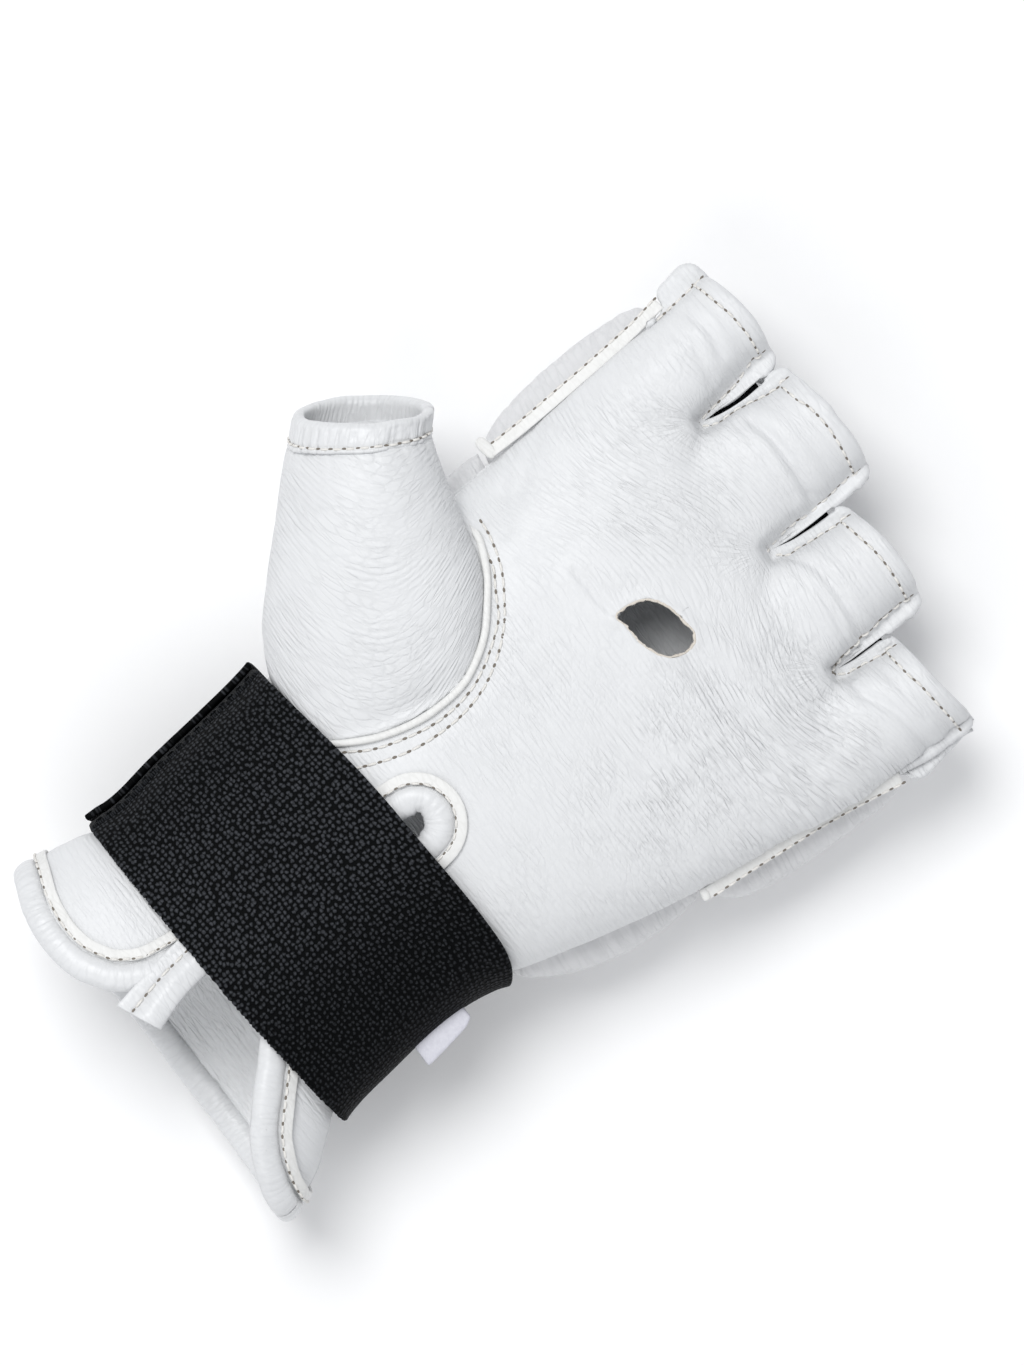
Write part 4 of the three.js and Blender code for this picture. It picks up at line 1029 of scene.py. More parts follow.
def palm_wrinkle(x, y):
    """How creased the palm is from place to place."""
    wear_and_glint = 0.55 + 0.75 * ease(8, 36, x) * ease(-30, 0, y) * ease(46, 34, y) + 0.5 * hump(-12, 22, x) * hump(34, 14, y)
    return np.clip(wear_and_glint + 0.5 * (noise(x / 15, y / 15, 12) - 0.5), 0.25, 1.5)


def build_panel(side, distance, relief):
    """A sewn panel: its plan cut to shape, raised to its height, creased and given its thickness."""
    plan, faces = panel_plan(side)
    plan, faces = keep_faces(*cut_plan(plan, faces, distance))
    x, y = plan[:, 0], plan[:, 1]
    rise = panel_rise(x, y, side)
    points = np.column_stack([x, y, SEAM_Z + side * (SEAM_CLEAR + rise)])
    faces = faces[:, ::side]
    out = relief(x, y) * ease(0.0, 2.0, rise)
    for crotch in CROTCHES:  # calm where the walls between two fingers fall steeply
        out *= 1 - hump(0, 5.0, np.hypot(x - crotch[0], y - crotch[1])) * ease(8.0, 4.0, rise)
    points += vertex_normals(points, faces) * out[:, None]
    above_seam = np.maximum(side * (points[:, 2] - SEAM_Z), SEAM_CLEAR)
    points[:, 2] = SEAM_Z + side * above_seam
    at_seam = (rise < 0.6) & (station_at(x, y) < CROTCH_STATION + 0.1)
    at_hole = np.abs(distance_inside(HOLE, x, y)) < 0.8
    at_slit = np.min([distance_to_line(x, y, np.array(line)) for line in SLITS], axis=0) < 1.6
    roundness = np.select([at_seam, at_hole | at_slit], [0.1, 0.25], 0.95)
    thickness = bpy.context.scene.glove_sewing.leather * MM
    points, faces, source = shell(points, faces, thickness + np.maximum(out, 0.0), roundness)
    return points, faces, source, x, y


def build_palm():
    """The palm panel with its finger sleeves, palm hole, slit and flaps."""
    opening, hole = cuff_opening(), hole_outline()

    def distance(x, y):
        return np.minimum(-distance_inside(opening, x, y), -distance_inside(hole, x, y))

    points, faces, source, x, y = build_panel(1, distance, palm_relief)
    share, place = fan_field(x, y)
    make_piece("palm_leather", points, faces, "full_grain_leather_white", ["palm_panel"],
               wrinkle=palm_wrinkle(x, y)[source], crease_place=palm_lie(x, y)[source],
               fan_share=share[source], fan_place=place[source])


def back_relief(x, y):
    """Relief of the back panel: hems of the sleeves and slack leather between the pads and the cuff."""
    edge = mouth_distance(x, y)
    hem = ease(3.5, 2.7, edge)
    relief = 0.5 * hem * (1 - 0.5 * hump(0, 0.7, edge)) - 0.3 * hump(3.1, 0.5, edge)
    relief += 0.8 * (noise(x / 18, y / 18, 31) - 0.5)
    return relief - 0.3 * ridges(x / 14 + noise(x / 7, y / 7, 33), y / 3.4, 32)


def build_back():
    """The panel under the back of the hand, with the back halves of the sleeves."""
    points, faces, source, _, _ = build_panel(-1, lambda x, y: y - CUFF_BACK_Y, back_relief)
    make_piece("back_leather", points, faces, "full_grain_leather_white", ["back_panel"],
               wrinkle=np.full(len(source), 0.9))


def build_hole_edge():
    """The raw edge of the palm hole: pale torn suede, a little ragged."""
    line = hole_outline()
    count = len(line)
    rise = panel_rise(line[:, 0], line[:, 1], 1) + palm_relief(line[:, 0], line[:, 1])
    points = np.column_stack([line, SEAM_Z + SEAM_CLEAR + rise - 0.45])
    fringe = 0.1 + 0.35 * noise(np.arange(count) / 1.1, np.zeros(count), 17)
    points[:, :2] -= unit(line - line.mean(axis=0)) * fringe[:, None]
    _, side, up = frames_along(points, np.broadcast_to([0.0, 0.0, 1.0], points.shape), closed=True)
    size = 0.12 + 0.34 * noise(np.arange(count) / 0.9, np.ones(count), 18)
    section = np.stack([oval(s, 0.5, 10, 2.2) for s in size])
    make_piece("palm_hole_edge", *sweep(points, side, up, section, closed=True), "raw_suede_edge")


def build_slit_shadow_strips():
    """Black strips under the slits between neighbouring finger sleeves: painted shadow, a dark sheet where each slit
    shows only shade, drawn in the black ribbon's weave.
    """
    parts = []
    for (x0, y0), (x1, y1) in SLITS:
        line = np.column_stack([np.linspace(x0, x1, 30), np.linspace(y0, y1, 30), np.full(30, SEAM_Z)])
        _, side, up = frames_along(line, np.broadcast_to([0.0, 0.0, 1.0], line.shape))
        parts.append(sweep(line, side, up, oval(1.0, 0.12, 12, 4.0)))
    points, faces = join_parts(parts)
    # painted shadow: these black strips stand for the shade in each slit between the sleeves
    make_piece("finger_slit_ribbons", points, faces, "polyester_ribbon_black", weave_place=points[:, [1, 0, 2]])


def build_little_side():
    """The narrow side of the little finger's sleeve, from the wider back up to the palm's edge."""
    stations = np.arange(7.0, 46.3, 3.2)
    x = follow(HAND_TABLE, stations)[:, RIGHT]
    shared = list(zip(x, stations + slant(stations) * x))
    low = smooth_line([*shared, *LITTLE_BACK_SIDE], count=110)
    high = smooth_line([*shared, *SLEEVES["little"][2][:-1]], count=110)
    sunk = SEAM_Z - 0.3 - panel_rise(low[:, 0], low[:, 1], -1)
    low, high = np.column_stack([low, sunk]), np.column_stack([high, np.full(110, SEAM_Z - 0.1)])
    share = np.linspace(0, 1, 12)[None, :, None]
    grid = mix(low[:, None], high[:, None], share)
    depth = np.clip((high[:, 2] - low[:, 2]) / 6, 0, 1)[:, None]
    grid[..., 0] += 0.9 * depth * np.sin(math.pi * share[..., 0]) - 0.15
    points, faces = grid.reshape(-1, 3), grid_faces(110, 12)
    if vertex_normals(points, faces)[:, 0].sum() < 0:
        faces = faces[:, ::-1]
    points, faces, _ = shell(points, faces, 1.2, 0.6)
    make_piece("little_side_leather", points, faces, "full_grain_leather_white")


# Thumb sleeve

# Sections from past the mouth to below the seam: both ends across the thumb, rise, drop and lean
THUMB_SECTIONS = np.array([
    (-55.7, 12.0, 44.0, -71.2, -9.5, 43.0, 12.6, 12.6, 0.26),
    (-52.6, 8.0, 44.0, -68.0, -13.6, 43.0, 12.8, 12.8, 0.26),
    (-48.6, 4.9, 44.0, -64.2, -18.6, 42.4, 13.6, 13.4, 0.22),
    (-40.0, 1.8, 43.5, -56.2, -28.0, 41.0, 15.2, 15.4, 0.14),
    (-30.5, -0.9, 43.5, -46.6, -38.6, 39.0, 15.6, 17.5, 0.07),
    (-20.5, -4.2, 44.5, -37.0, -47.2, 38.0, 14.2, 18.5, 0.0),
    (-12.2, -10.8, 45.5, -25.0, -52.5, 39.0, 11.4, 18.0, 0.0),
    (-6.8, -17.8, 46.0, -14.5, -52.0, 42.0, 7.2, 16.0, 0.0),
    (-4.4, -25.5, 44.0, -7.0, -44.0, 42.0, 2.2, 12.0, 0.0),
])
THUMB_CURVE = 2.2
THUMB_AROUND = 17  # millimetres of the sleeve's surface for each radian round it
THUMB_CENTRES = (THUMB_SECTIONS[:, :2] + THUMB_SECTIONS[:, 3:5]) / 2
THUMB_KEYS = np.concatenate([[0], np.cumsum(np.linalg.norm(np.diff(THUMB_CENTRES, axis=0), axis=1))])
THUMB_TABLE = np.column_stack([THUMB_KEYS, THUMB_SECTIONS])
THUMB_MOUTH, THUMB_STITCHES = THUMB_KEYS[1], THUMB_KEYS[2]
THUMB_WELT = [(-29.5, 0.0), (-26, -0.3), (-22.5, -1.7), (-19, -3.6), (-15.4, -6.4), (-10.4, -10.9), (-6.9, -16),
              (-4.9, -20.8),
              (-4.3, -27), (-4.8, -33), (-6.8, -40), (-9.6, -45.5), (-13.2, -51)]


def thumb_point(key, angle, offset=0.0):
    """A point of the thumb sleeve at a distance along it and an angle round it."""
    row = follow(THUMB_TABLE, key)
    a, b = row[..., 0:3], row[..., 3:6]
    centre, half = (a + b) / 2, (a - b) / 2
    length = np.linalg.norm(half, axis=-1, keepdims=True)
    half = half / length * (length + np.asarray(offset)[..., None])
    along = np.stack([-half[..., 1], half[..., 0], np.zeros_like(half[..., 0])], axis=-1)
    along = unit(along)
    along = np.where(along[..., :1] > 0, -along, along)
    cosine, sine = np.cos(angle), np.sin(angle)
    rise = np.where(sine >= 0, row[..., 6], row[..., 7]) + offset
    height = rise * power(sine, 2 / THUMB_CURVE)
    point = centre + half * power(cosine, 2 / THUMB_CURVE)[..., None] - along * (row[..., 8] * height)[..., None]
    point[..., 2] += height
    return point


def inside_hand(points, sink):
    """Level of points against the hand's surface lowered by sink: negative inside it."""
    row = follow(HAND_TABLE, station_at(points[..., 0], points[..., 1]))
    middle, half = (row[..., LEFT] + row[..., RIGHT]) / 2, (row[..., RIGHT] - row[..., LEFT]) / 2 - sink
    rise = np.where(points[..., 2] >= SEAM_Z, row[..., TOP] - SEAM_Z, SEAM_Z - row[..., BOTTOM]) - sink
    level = (np.abs((points[..., 0] - middle) / half) ** row[..., CURVE]
             + np.abs((points[..., 2] - SEAM_Z) / rise) ** row[..., CURVE]) ** (1 / row[..., CURVE])
    return level - 1


def cut_by_hand(points, faces, sink):
    """Ends a sheet where it passes into the hand. Points just inside move out to the hand's surface."""
    outside = inside_hand(points, sink) > 0
    kept = faces[outside[faces].any(axis=1)]
    moving = np.unique(kept)
    moving = moving[~outside[moving]]
    step = 0.2
    for _ in range(5):
        here = points[moving]
        level = inside_hand(here, sink)
        slope = np.stack([(inside_hand(here + m, sink) - inside_hand(here - m, sink)) / (2 * step)
                          for m in np.eye(3) * step], axis=-1)
        size = np.maximum(np.sum(slope * slope, axis=-1), 1e-4)
        points[moving] -= np.clip(level / size, -30, 30)[:, None] * slope
    return keep_faces(points, kept)


def thumb_lie(points):
    """A place on the thumb whose X runs along its creases, which hang from the two ends of the hem like garlands."""
    x, y = points[..., 0], points[..., 1]
    right, up = 0.616 * x + 0.788 * y + 36.0, 0.616 * y - 0.788 * x
    hang = np.where(right < 0, 0.036, 0.06) * right * right
    return np.stack([1.2 * right + 0.3 * up, up - hang, 0.6 * points[..., 2]], axis=-1)


def thumb_relief(key, angle, points):
    """Creases of the thumb's leather: gathers at the hem, garlands below it, and a soft swelling."""
    from_hem = key - THUMB_STITCHES
    x, y = points[..., 0], points[..., 1]
    around = angle * THUMB_AROUND
    relief = 1.1 * (noise(key / 17, around / THUMB_AROUND, 41) - 0.5)
    gathers = ridges(around / 3.0 + noise(key / 6, around / 6, 42), key / 16, 43)
    relief -= 0.3 * gathers * np.exp(-np.maximum(from_hem, 0) / 5.0)
    lie = thumb_lie(points)
    along, across = lie[..., 0] + 4 * noise(x / 9, y / 9, 44), lie[..., 1] + 3.0 * noise(x / 12, y / 9, 45)
    relief -= 0.14 * ridges(along / 22, across / 4.2, 46) * (0.35 + 0.65 * ease(6, 20, from_hem))
    return relief - 0.45 * hump(0, 0.7, from_hem)


def build_thumb():
    """The tapering thumb sleeve, cut where it meets the hand."""
    rows, columns = 118, 210
    key = np.linspace(THUMB_STITCHES - 0.6, THUMB_KEYS[-1], rows)
    angle = 2 * np.pi * (np.arange(columns) + 0.5) / columns
    key, angle = np.meshgrid(key, angle, indexing="ij")
    base = thumb_point(key, angle)
    faces = grid_faces(rows, columns, closed=True)
    flat = base.reshape(-1, 3)
    normals = vertex_normals(flat, faces)
    centre = flat.reshape(rows, columns, 3).mean(axis=1, keepdims=True)
    if np.sum(normals.reshape(rows, columns, 3) * (base - centre)) < 0:
        faces, normals = faces[:, ::-1], -normals
    relief = thumb_relief(key, angle, base).ravel()
    flat = flat + normals * relief[:, None]
    # Towards the welt the sleeve's lower edge lies down on the palm
    within = distance_inside([(-70, 0), *THUMB_WELT, (-70, -51)], flat[:, 0], flat[:, 1])
    lain = palm_height(flat[:, 0], flat[:, 1]) - 1.8 + 2.5 * ease(-0.6, 1.2, within)
    upper = (np.sin(angle) > 0).ravel() & (flat[:, 0] > -30)
    flat[:, 2] = np.where(upper, soft_max(flat[:, 2], lain, 3.0), flat[:, 2])
    points, faces = cut_by_hand(flat, faces, 1.0)
    points, faces, _ = shell(points, faces, 1.5, 0.2)
    make_piece("thumb_leather", points, faces, "full_grain_leather_thumb", ["thumb_sleeve"],
               crease_place=thumb_lie(points))


def build_thumb_hem():
    """The folded band round the thumb's mouth: sewn down at its lower edge, with a rounded lip."""
    lip = THUMB_MOUTH
    # Distance along the sleeve and height above it, from the sewn edge over the lip and back inside
    profile = [
        (THUMB_STITCHES + 0.35, -0.5), (THUMB_STITCHES + 0.3, 0.2), (THUMB_STITCHES - 0.3, 0.62),
        (THUMB_STITCHES - 0.9, 0.3), (THUMB_STITCHES - 1.6, 0.6), (THUMB_STITCHES - 2.6, 0.8),
        (lip + 2.4, 0.85), (lip + 1.4, 0.95), (lip + 0.5, 0.95), (lip - 0.1, 0.6), (lip - 0.35, 0.0),
        (lip - 0.3, -0.7), (lip + 0.1, -1.35), (lip + 0.9, -1.6), (lip + 2.2, -1.55), (lip + 4.5, -1.5),
        (THUMB_STITCHES + 0.35, -1.5),
    ]
    line = smooth_line(profile, spacing=0.28, closed=True)
    columns = 240
    angle = 2 * np.pi * (np.arange(columns) + 0.5) / columns
    wander = noise(angle * 3.1, angle * 0 + 2, 51)
    gather = ridges(angle * 6.5 + 0.8 * noise(angle * 2, angle * 0, 52), angle * 0, 53)
    key, around = np.meshgrid(line[:, 0], angle, indexing="ij")
    height = np.repeat(line[:, 1][:, None], columns, axis=1)
    outer = ease(-0.4, 0.5, height)
    height = height - 0.5 * gather[None] * outer * ease(lip, lip + 1.5, key) + 0.25 * (wander[None] - 0.5) * outer
    height += 0.22 * outer * (noise(around * 12, key / 1.4, 54) - 0.5)
    key = key + 0.55 * (noise(angle * 2.4, angle * 0 + 5, 55)[None] - 0.5)
    points = thumb_point(key, around, height)
    faces = grid_faces(len(line) + 1, columns, closed=True)
    faces = np.where(faces >= len(line) * columns, faces - len(line) * columns, faces)
    lie = np.stack([key, around * THUMB_AROUND, 0 * key], axis=-1)
    make_piece("thumb_hem_leather", points.reshape(-1, 3), faces, "turned_leather_white", ["thumb_hem"],
               crease_place=lie.reshape(-1, 3))


def thumb_hem_line(shift=-0.9, lift=0.35):
    """The stitch row of the thumb's hem, with its normals."""
    angle = np.linspace(0, 2 * np.pi, 260)
    key = np.full_like(angle, THUMB_STITCHES + shift)
    points = thumb_point(key, angle, np.full_like(angle, lift))
    out = thumb_point(key, angle, np.full_like(angle, lift + 1.0))
    return points, unit(out - points)


# Foam pads on the back

PAD_JOIN = (3.0, -0.203)  # a slanted line across the hand: y at x = 0, and slope
KNUCKLE_FRONT = (49.8, -0.171)
HAND_PAD_REAR = (-49.4, 0.0)
# Pad sections: share of its length, left, right, low, high
KNUCKLE_TABLE = np.array([
    (0.0, -41.0, 58.6, 5.0, 26.0),
    (0.04, -42.6, 61.6, 1.4, 29.4),
    (0.14, -44.4, 64.8, -0.8, 31.0),
    (0.35, -45.8, 67.0, -1.2, 31.6),
    (0.7, -46.4, 68.0, -1.2, 31.6),
    (0.9, -45.6, 67.8, -0.8, 31.0),
    (0.97, -43.8, 66.4, 1.6, 28.4),
    (1.0, -41.0, 64.4, 5.5, 24.5),
])
HAND_PAD_TABLE = np.array([
    (0.0, -29.0, 48.6, 11.0, 27.0),
    (0.05, -31.0, 51.0, 6.0, 30.0),
    (0.2, -35.0, 54.8, 0.8, 31.5),
    (0.45, -38.4, 58.6, -1.2, 31.5),
    (0.75, -40.6, 60.2, -1.2, 31.5),
    (0.95, -41.4, 59.8, 0.0, 30.8),
    (1.0, -41.0, 59.2, 2.0, 28.8),
])


def pad_ring(table, rear, front, share, angle, shrink=1.0):
    """Points of a pad's rounded section: squarer above, where its roll stands beside the palm."""
    row = follow(table, share)
    middle, half = (row[..., 0] + row[..., 1]) / 2, (row[..., 1] - row[..., 0]) / 2
    centre, high = (row[..., 2] + row[..., 3]) / 2, (row[..., 3] - row[..., 2]) / 2
    cosine, sine = np.cos(angle), np.sin(angle)
    curve = np.where(sine > 0, 5.2, 3.2)
    x = middle + half * shrink * power(cosine, 2 / curve)
    z = centre + high * shrink * power(sine, 2 / curve)
    y = mix(rear[0] + rear[1] * x, front[0] + front[1] * x, share)
    return np.stack([x, y, z], axis=-1)


def blown_up(points, faces, pinned, pressure=4.0, cap=1.4, frames=20):
    """Blows a closed cover up with Blender's cloth, held where it is sewn. cap limits the movement in millimetres.

    At this size the pressure moves a cover by well under a millimetre, so its section table gives it its form.
    """
    scene = bpy.context.scene
    mesh = bpy.data.meshes.new("cover")
    mesh.from_pydata((points / MM).tolist(), [], faces.tolist())
    cover = bpy.data.objects.new("cover", mesh)
    scene.collection.objects.link(cover)
    cover.vertex_groups.new(name="sewn").add(pinned.tolist(), 1.0, "REPLACE")
    settings = cover.modifiers.new("cloth", "CLOTH").settings
    settings.vertex_group_mass = "sewn"
    settings.use_pressure = True
    settings.uniform_pressure_force = pressure
    settings.effector_weights.gravity = 0.0
    for number in range(1, frames + 1):
        scene.frame_set(number)
    swollen = cover.evaluated_get(bpy.context.evaluated_depsgraph_get()).data
    result = np.empty(len(points) * 3)
    swollen.vertices.foreach_get("co", result)
    moved = result.reshape(-1, 3) * MM - points
    bpy.data.objects.remove(cover)
    bpy.data.meshes.remove(mesh)
    scene.frame_set(1)
    reach = np.linalg.norm(moved, axis=1, keepdims=True)
    return points + moved * np.minimum(1.0, cap / np.maximum(reach, 1e-6))


def finer(grid, rows, columns):
    """A grid of points, closed along its columns, drawn with more rows and columns."""
    across = np.concatenate([grid, grid[:, :1]], axis=1)
    for axis, count in ((0, rows), (1, columns + 1)):
        across = np.moveaxis(across, axis, 0)
        table = np.column_stack([np.arange(len(across)), across.reshape(len(across), -1)])
        across = follow(table, np.linspace(0, len(across) - 1, count)).reshape(count, *across.shape[1:])
        across = np.moveaxis(across, 0, axis)
    return across[:, :-1]


def build_pad(name, table, rear, front, node, seed, clearance=0.35):
    """A foam pad in leather: full between its seams, flat where it rests, and hollowed to hold the hand.

    Its fullness comes from its section table and the relief below, and hardly from the cloth.
    """
    length = front[0] - rear[0]
    columns, coarse_columns = 256, 64
    rows, coarse_rows = int(length / 0.7), int(length / 3.4)
    share = np.linspace(0, 1, coarse_rows)
    angle = 2 * np.pi * (np.arange(coarse_columns) + 0.5) / coarse_columns
    keys, around = np.meshgrid(mix(share, ease(0, 1, share), 0.5), angle, indexing="ij")
    body = pad_ring(table, rear, front, keys, around)
    middle = body.mean(axis=(0, 1))
    slimmer = middle + (body - middle) * np.array([0.985, 0.99, 0.97])
    faces = grid_faces(coarse_rows, coarse_columns, closed=True)[:, ::-1]
    rim = np.concatenate([np.arange(coarse_columns), (coarse_rows - 1) * coarse_columns + np.arange(coarse_columns)])
    swollen = blown_up(slimmer.reshape(-1, 3), faces, rim).reshape(body.shape)
    body = finer(swollen, rows, columns)
    ends = []
    for edge, direction in ((body[0], -1), (body[-1], 1)):
        centre = edge.mean(axis=0)
        rings = [centre + (edge - centre) * k + np.array([0, direction * (1 - k * k) * 1.1, 0])
                 for k in (0.86, 0.66, 0.42, 0.16, 0.02)]
        ends.append(np.stack(rings if direction > 0 else rings[::-1]))
    grid = np.concatenate([ends[0], body, ends[1]])
    faces = grid_faces(len(grid), columns, closed=True)[:, ::-1]
    points = grid.reshape(-1, 3)
    normals = vertex_normals(points, faces)
    x, y, z = points.T
    side = ease(0.35, 0.9, np.abs(normals[:, 0]))
    along = y + 0.17 * x
    relief = 0.9 * (noise(x / 16, y / 16 + z / 16, seed) - 0.5)
    puckers = ridges(along / 2.9 + noise(z / 6, along / 9, seed + 1), z / 13 + x / 30, seed + 2)
    relief -= (0.14 + 0.34 * ease(12, 30, z)) * puckers
    relief -= 0.12 * ridges(x / 3.5 + noise(x / 9, y / 9, seed + 3), y / 9, seed + 4) * (1 - side)
    row = follow(table, np.clip((y - rear[0] - rear[1] * x) / (length + (front[1] - rear[1]) * x), 0, 1))
    seam = np.minimum(np.abs(x - row[:, 0] - 9.0), np.abs(row[:, 1] - 9.0 - x))
    relief -= 0.55 * hump(0, 0.8, seam) * ease(8, 4, z)
    points = points + normals * relief[:, None]
    rise = np.maximum(glove_rise(points[:, 0], points[:, 1], -1), 0.0)
    points[:, 2] = np.clip(points[:, 2], 0.0, SEAM_Z - clearance - rise)
    lie = np.column_stack([points[:, 2] + 0.3 * points[:, 0], along, 0 * along])
    make_piece(name, points, faces, "stretched_leather_white", [node], crease_place=lie)


def build_knuckle_pad():
    """The pad over the knuckles, whose sides show beside the palm as two rolls."""
    return build_pad("knuckle_pad_leather", KNUCKLE_TABLE, PAD_JOIN, KNUCKLE_FRONT, "knuckle_pad", 61)


def build_hand_pad():
    """The pad over the back of the hand."""
    front = (PAD_JOIN[0] - 0.5, PAD_JOIN[1])
    return build_pad("hand_pad_leather", HAND_PAD_TABLE, HAND_PAD_REAR, front, "hand_pad", 71)


# Tapes, rolls and stitches

ROLL_ACROSS, ROLL_UP = 2.9, 2.3  # half sizes of the padded roll round the cuff
ROLL_SPACING = 0.7  # between the rings of points along it
CUFF_TAPE_WIDTH, CUFF_TAPE_THICK = 2.4, 0.8
EDGE_TAPE_WIDTH, EDGE_TAPE_THICK, EDGE_TAPE_Z = 2.9, 0.9, 33.1
INDEX_TAPE = [(-38.6, 12.4), (-38.6, 20), (-39.0, 30), (-39.5, 40), (-40.2, 50), (-41.3, 57.6)]
LITTLE_TAPE = [(58.5, -8.2), (59.1, 0), (60.1, 10), (61.2, 20), (62.6, 29), (64.2, 37.2)]


def on_panel(plan, side=1, lift=0.0, relief=None):
    """Points on a panel over or under plan points, with the normals there."""
    plan = np.asarray(plan, float)
    x, y = plan[:, 0], plan[:, 1]
    step = 0.2
    rise = panel_rise(x, y, side)
    slope_x = (panel_rise(x + step, y, side) - panel_rise(x - step, y, side)) / (2 * step)
    slope_y = (panel_rise(x, y + step, side) - panel_rise(x, y - step, side)) / (2 * step)
    normal = unit(np.column_stack([-slope_x, -slope_y, np.full_like(x, 1.0)]))
    normal[:, 2] *= side
    points = np.column_stack([x, y, SEAM_Z + side * (SEAM_CLEAR + rise)])
    out = lift + (relief(x, y) if relief is not None else 0.0)
    return points + normal * np.reshape(out, (-1, 1)), normal


def stitched(name, lines, pitch=None, seed=3, marks=(0.5, 0.24)):
    """Stitch rows as one piece of thread, and their needle marks as another."""
    sewing = bpy.context.scene.glove_sewing
    pitch = pitch or sewing.pitch * MM
    thread = stitches(lines, pitch, 0.74 * pitch, sewing.thread * MM, seed=seed)
    make_piece(f"{name}_thread", *thread, "bonded_polyester_thread")
    make_piece(f"{name}_needle_marks", *needle_holes(lines, pitch, marks), "punched_leather_edge")


def build_glove_stitches():
    """Stitch rows of the finger sleeves, the thumb seam and the thumb's hem."""
    seams = [smooth_line(points, spacing=0.8) for points in FINGER_SEAMS.values()]
    thumb_seams = [smooth_line(points, spacing=0.8) for points in THUMB_ROWS]
    stitched("palm_finger_seam", [on_panel(plan, 1, 0.08, palm_relief) for plan in seams])
    stitched("back_finger_seam", [on_panel(plan, -1, 0.1, back_relief) for plan in seams], seed=5)
    stitched("thumb_seam", [on_panel(plan, 1, 0.08, palm_relief) for plan in thumb_seams], pitch=3.1, seed=7,
             marks=(0.55, 0.3))
    stitched("thumb_hem", [thumb_hem_line()], pitch=2.75, seed=9)


def build_thumb_welt():
    """The narrow welt that is sewn into the thumb's seam."""
    plan = smooth_line(THUMB_WELT, spacing=0.5)
    line, up = on_panel(plan, 1, 0.55, palm_relief)
    _, side, up = frames_along(line, up)
    count = len(line)
    width = 0.78 + 0.12 * (noise(np.arange(count) / 9.0, np.zeros(count), 81) - 0.5)
    ends = ease(0, 5, np.arange(count)) * ease(count, count - 5, np.arange(count))
    section = np.stack([oval(w * max(e, 0.15), 0.85 * max(e, 0.15), 14, 2.6) for w, e in zip(width, ends)])
    make_piece("thumb_welt_leather", *sweep(line, side, up, section), "skived_leather_cream", ["thumb_welt"])


def roll_line():
    """Centre line of the cuff's roll: up the slit's right side, round its top, down its left side, round the back."""
    plan = np.array([*ROLL_RIGHT, *slit_arc(), *ROLL_LEFT])
    front = np.column_stack([plan, palm_height(plan[:, 0], plan[:, 1]) - 0.9])
    angle = np.linspace(-math.pi + 0.04, -0.04, 12)
    back = hand_point(np.full_like(angle, CUFF_BACK_Y), np.cos(angle), np.sin(angle), -0.9)
    line = smooth_line(np.vstack([front, back]), spacing=ROLL_SPACING, closed=True)
    _, side, up = frames_along(line, hand_normal(line), closed=True)
    return line, side, up


def build_cuff_roll():
    """The padded roll round the cuff, its flaps and the slit, gathered where it turns round the slit's top."""
    line, side, up = roll_line()
    count, around = len(line), 28
    step = np.arange(count)
    from_top = np.hypot(line[:, 0] - SLIT_TOP[0], line[:, 1] - SLIT_TOP[1] - 2.5)
    at_top = np.exp(-(from_top / 6.0) ** 2) * (line[:, 2] > SEAM_Z)
    angle = 2 * np.pi * (np.arange(around) + 0.5) / around
    cosine, sine = np.cos(angle)[None], np.sin(angle)[None]
    across, up_size = ROLL_ACROSS + 0.5 * at_top[:, None], ROLL_UP + 0.1 * at_top[:, None]
    s = step[:, None] * ROLL_SPACING
    swell = 1 + 0.10 * (noise(s / 11, cosine, 91) - 0.5) + 0.05 * (noise(s / 3, 2 * cosine, 92) - 0.5)
    inner = ease(-0.2, 0.9, cosine)
    gathers = ridges(s / 2.6 + 0.4 * noise(s / 3, cosine, 93), 0 * cosine + 1, 94) * at_top[:, None] * inner
    small = ridges(s / 2.1 + 0.9 * noise(s / 5, 2 * cosine, 95), cosine * 1.5, 96)
    swell = swell - 0.34 * gathers - 0.035 * small
    section = np.stack([across * power(cosine, 2 / 2.3) * swell, up_size * power(sine, 2 / 2.3) * swell], axis=-1)
    points, faces = sweep(line, side, up, section, closed=True)
    lie = np.stack(np.broadcast_arrays(angle[None] * 2.5, s, 0.0), axis=-1).reshape(-1, 3)
    roll = make_piece("cuff_roll_leather", points, faces, "turned_leather_white", ["cuff_roll"], crease_place=lie)


def flat_section(width, thick, count=20, curve=4.5):
    """A strip's section, flat with rounded edges."""
    return oval(width / 2, thick / 2, count, curve)


def build_cuff_tape():
    """The tape beside the roll, under which the panel's edge disappears, and the stitch row between the two."""
    line, side, up = roll_line()
    count = len(line)
    wave = 0.35 * (noise(np.arange(count) / 12.0, np.zeros(count), 101) - 0.5)
    shift = -(ROLL_ACROSS + 0.1 + CUFF_TAPE_WIDTH / 2) + wave
    lift = 0.9 + CUFF_TAPE_THICK / 2 + 0.2 + 0.3 * (noise(np.arange(count) / 7.0, np.zeros(count), 102) - 0.3)
    centre = line + side * shift[:, None] + up * lift[:, None]
    section = flat_section(CUFF_TAPE_WIDTH, CUFF_TAPE_THICK)
    tilt = section @ np.array([[1.0, 0.12], [-0.12, 1.0]])
    make_piece("cuff_tape_leather", *sweep(centre, side, up, tilt, closed=True), "skived_leather_cream", ["cuff_tape"])
    row = line - side * (ROLL_ACROSS + 0.35) + up * 2.0
    row = np.vstack([row, row[:1]])
    normals = np.vstack([up, up[:1]])
    stitched("cuff_seam", [(row, normals)], seed=11)


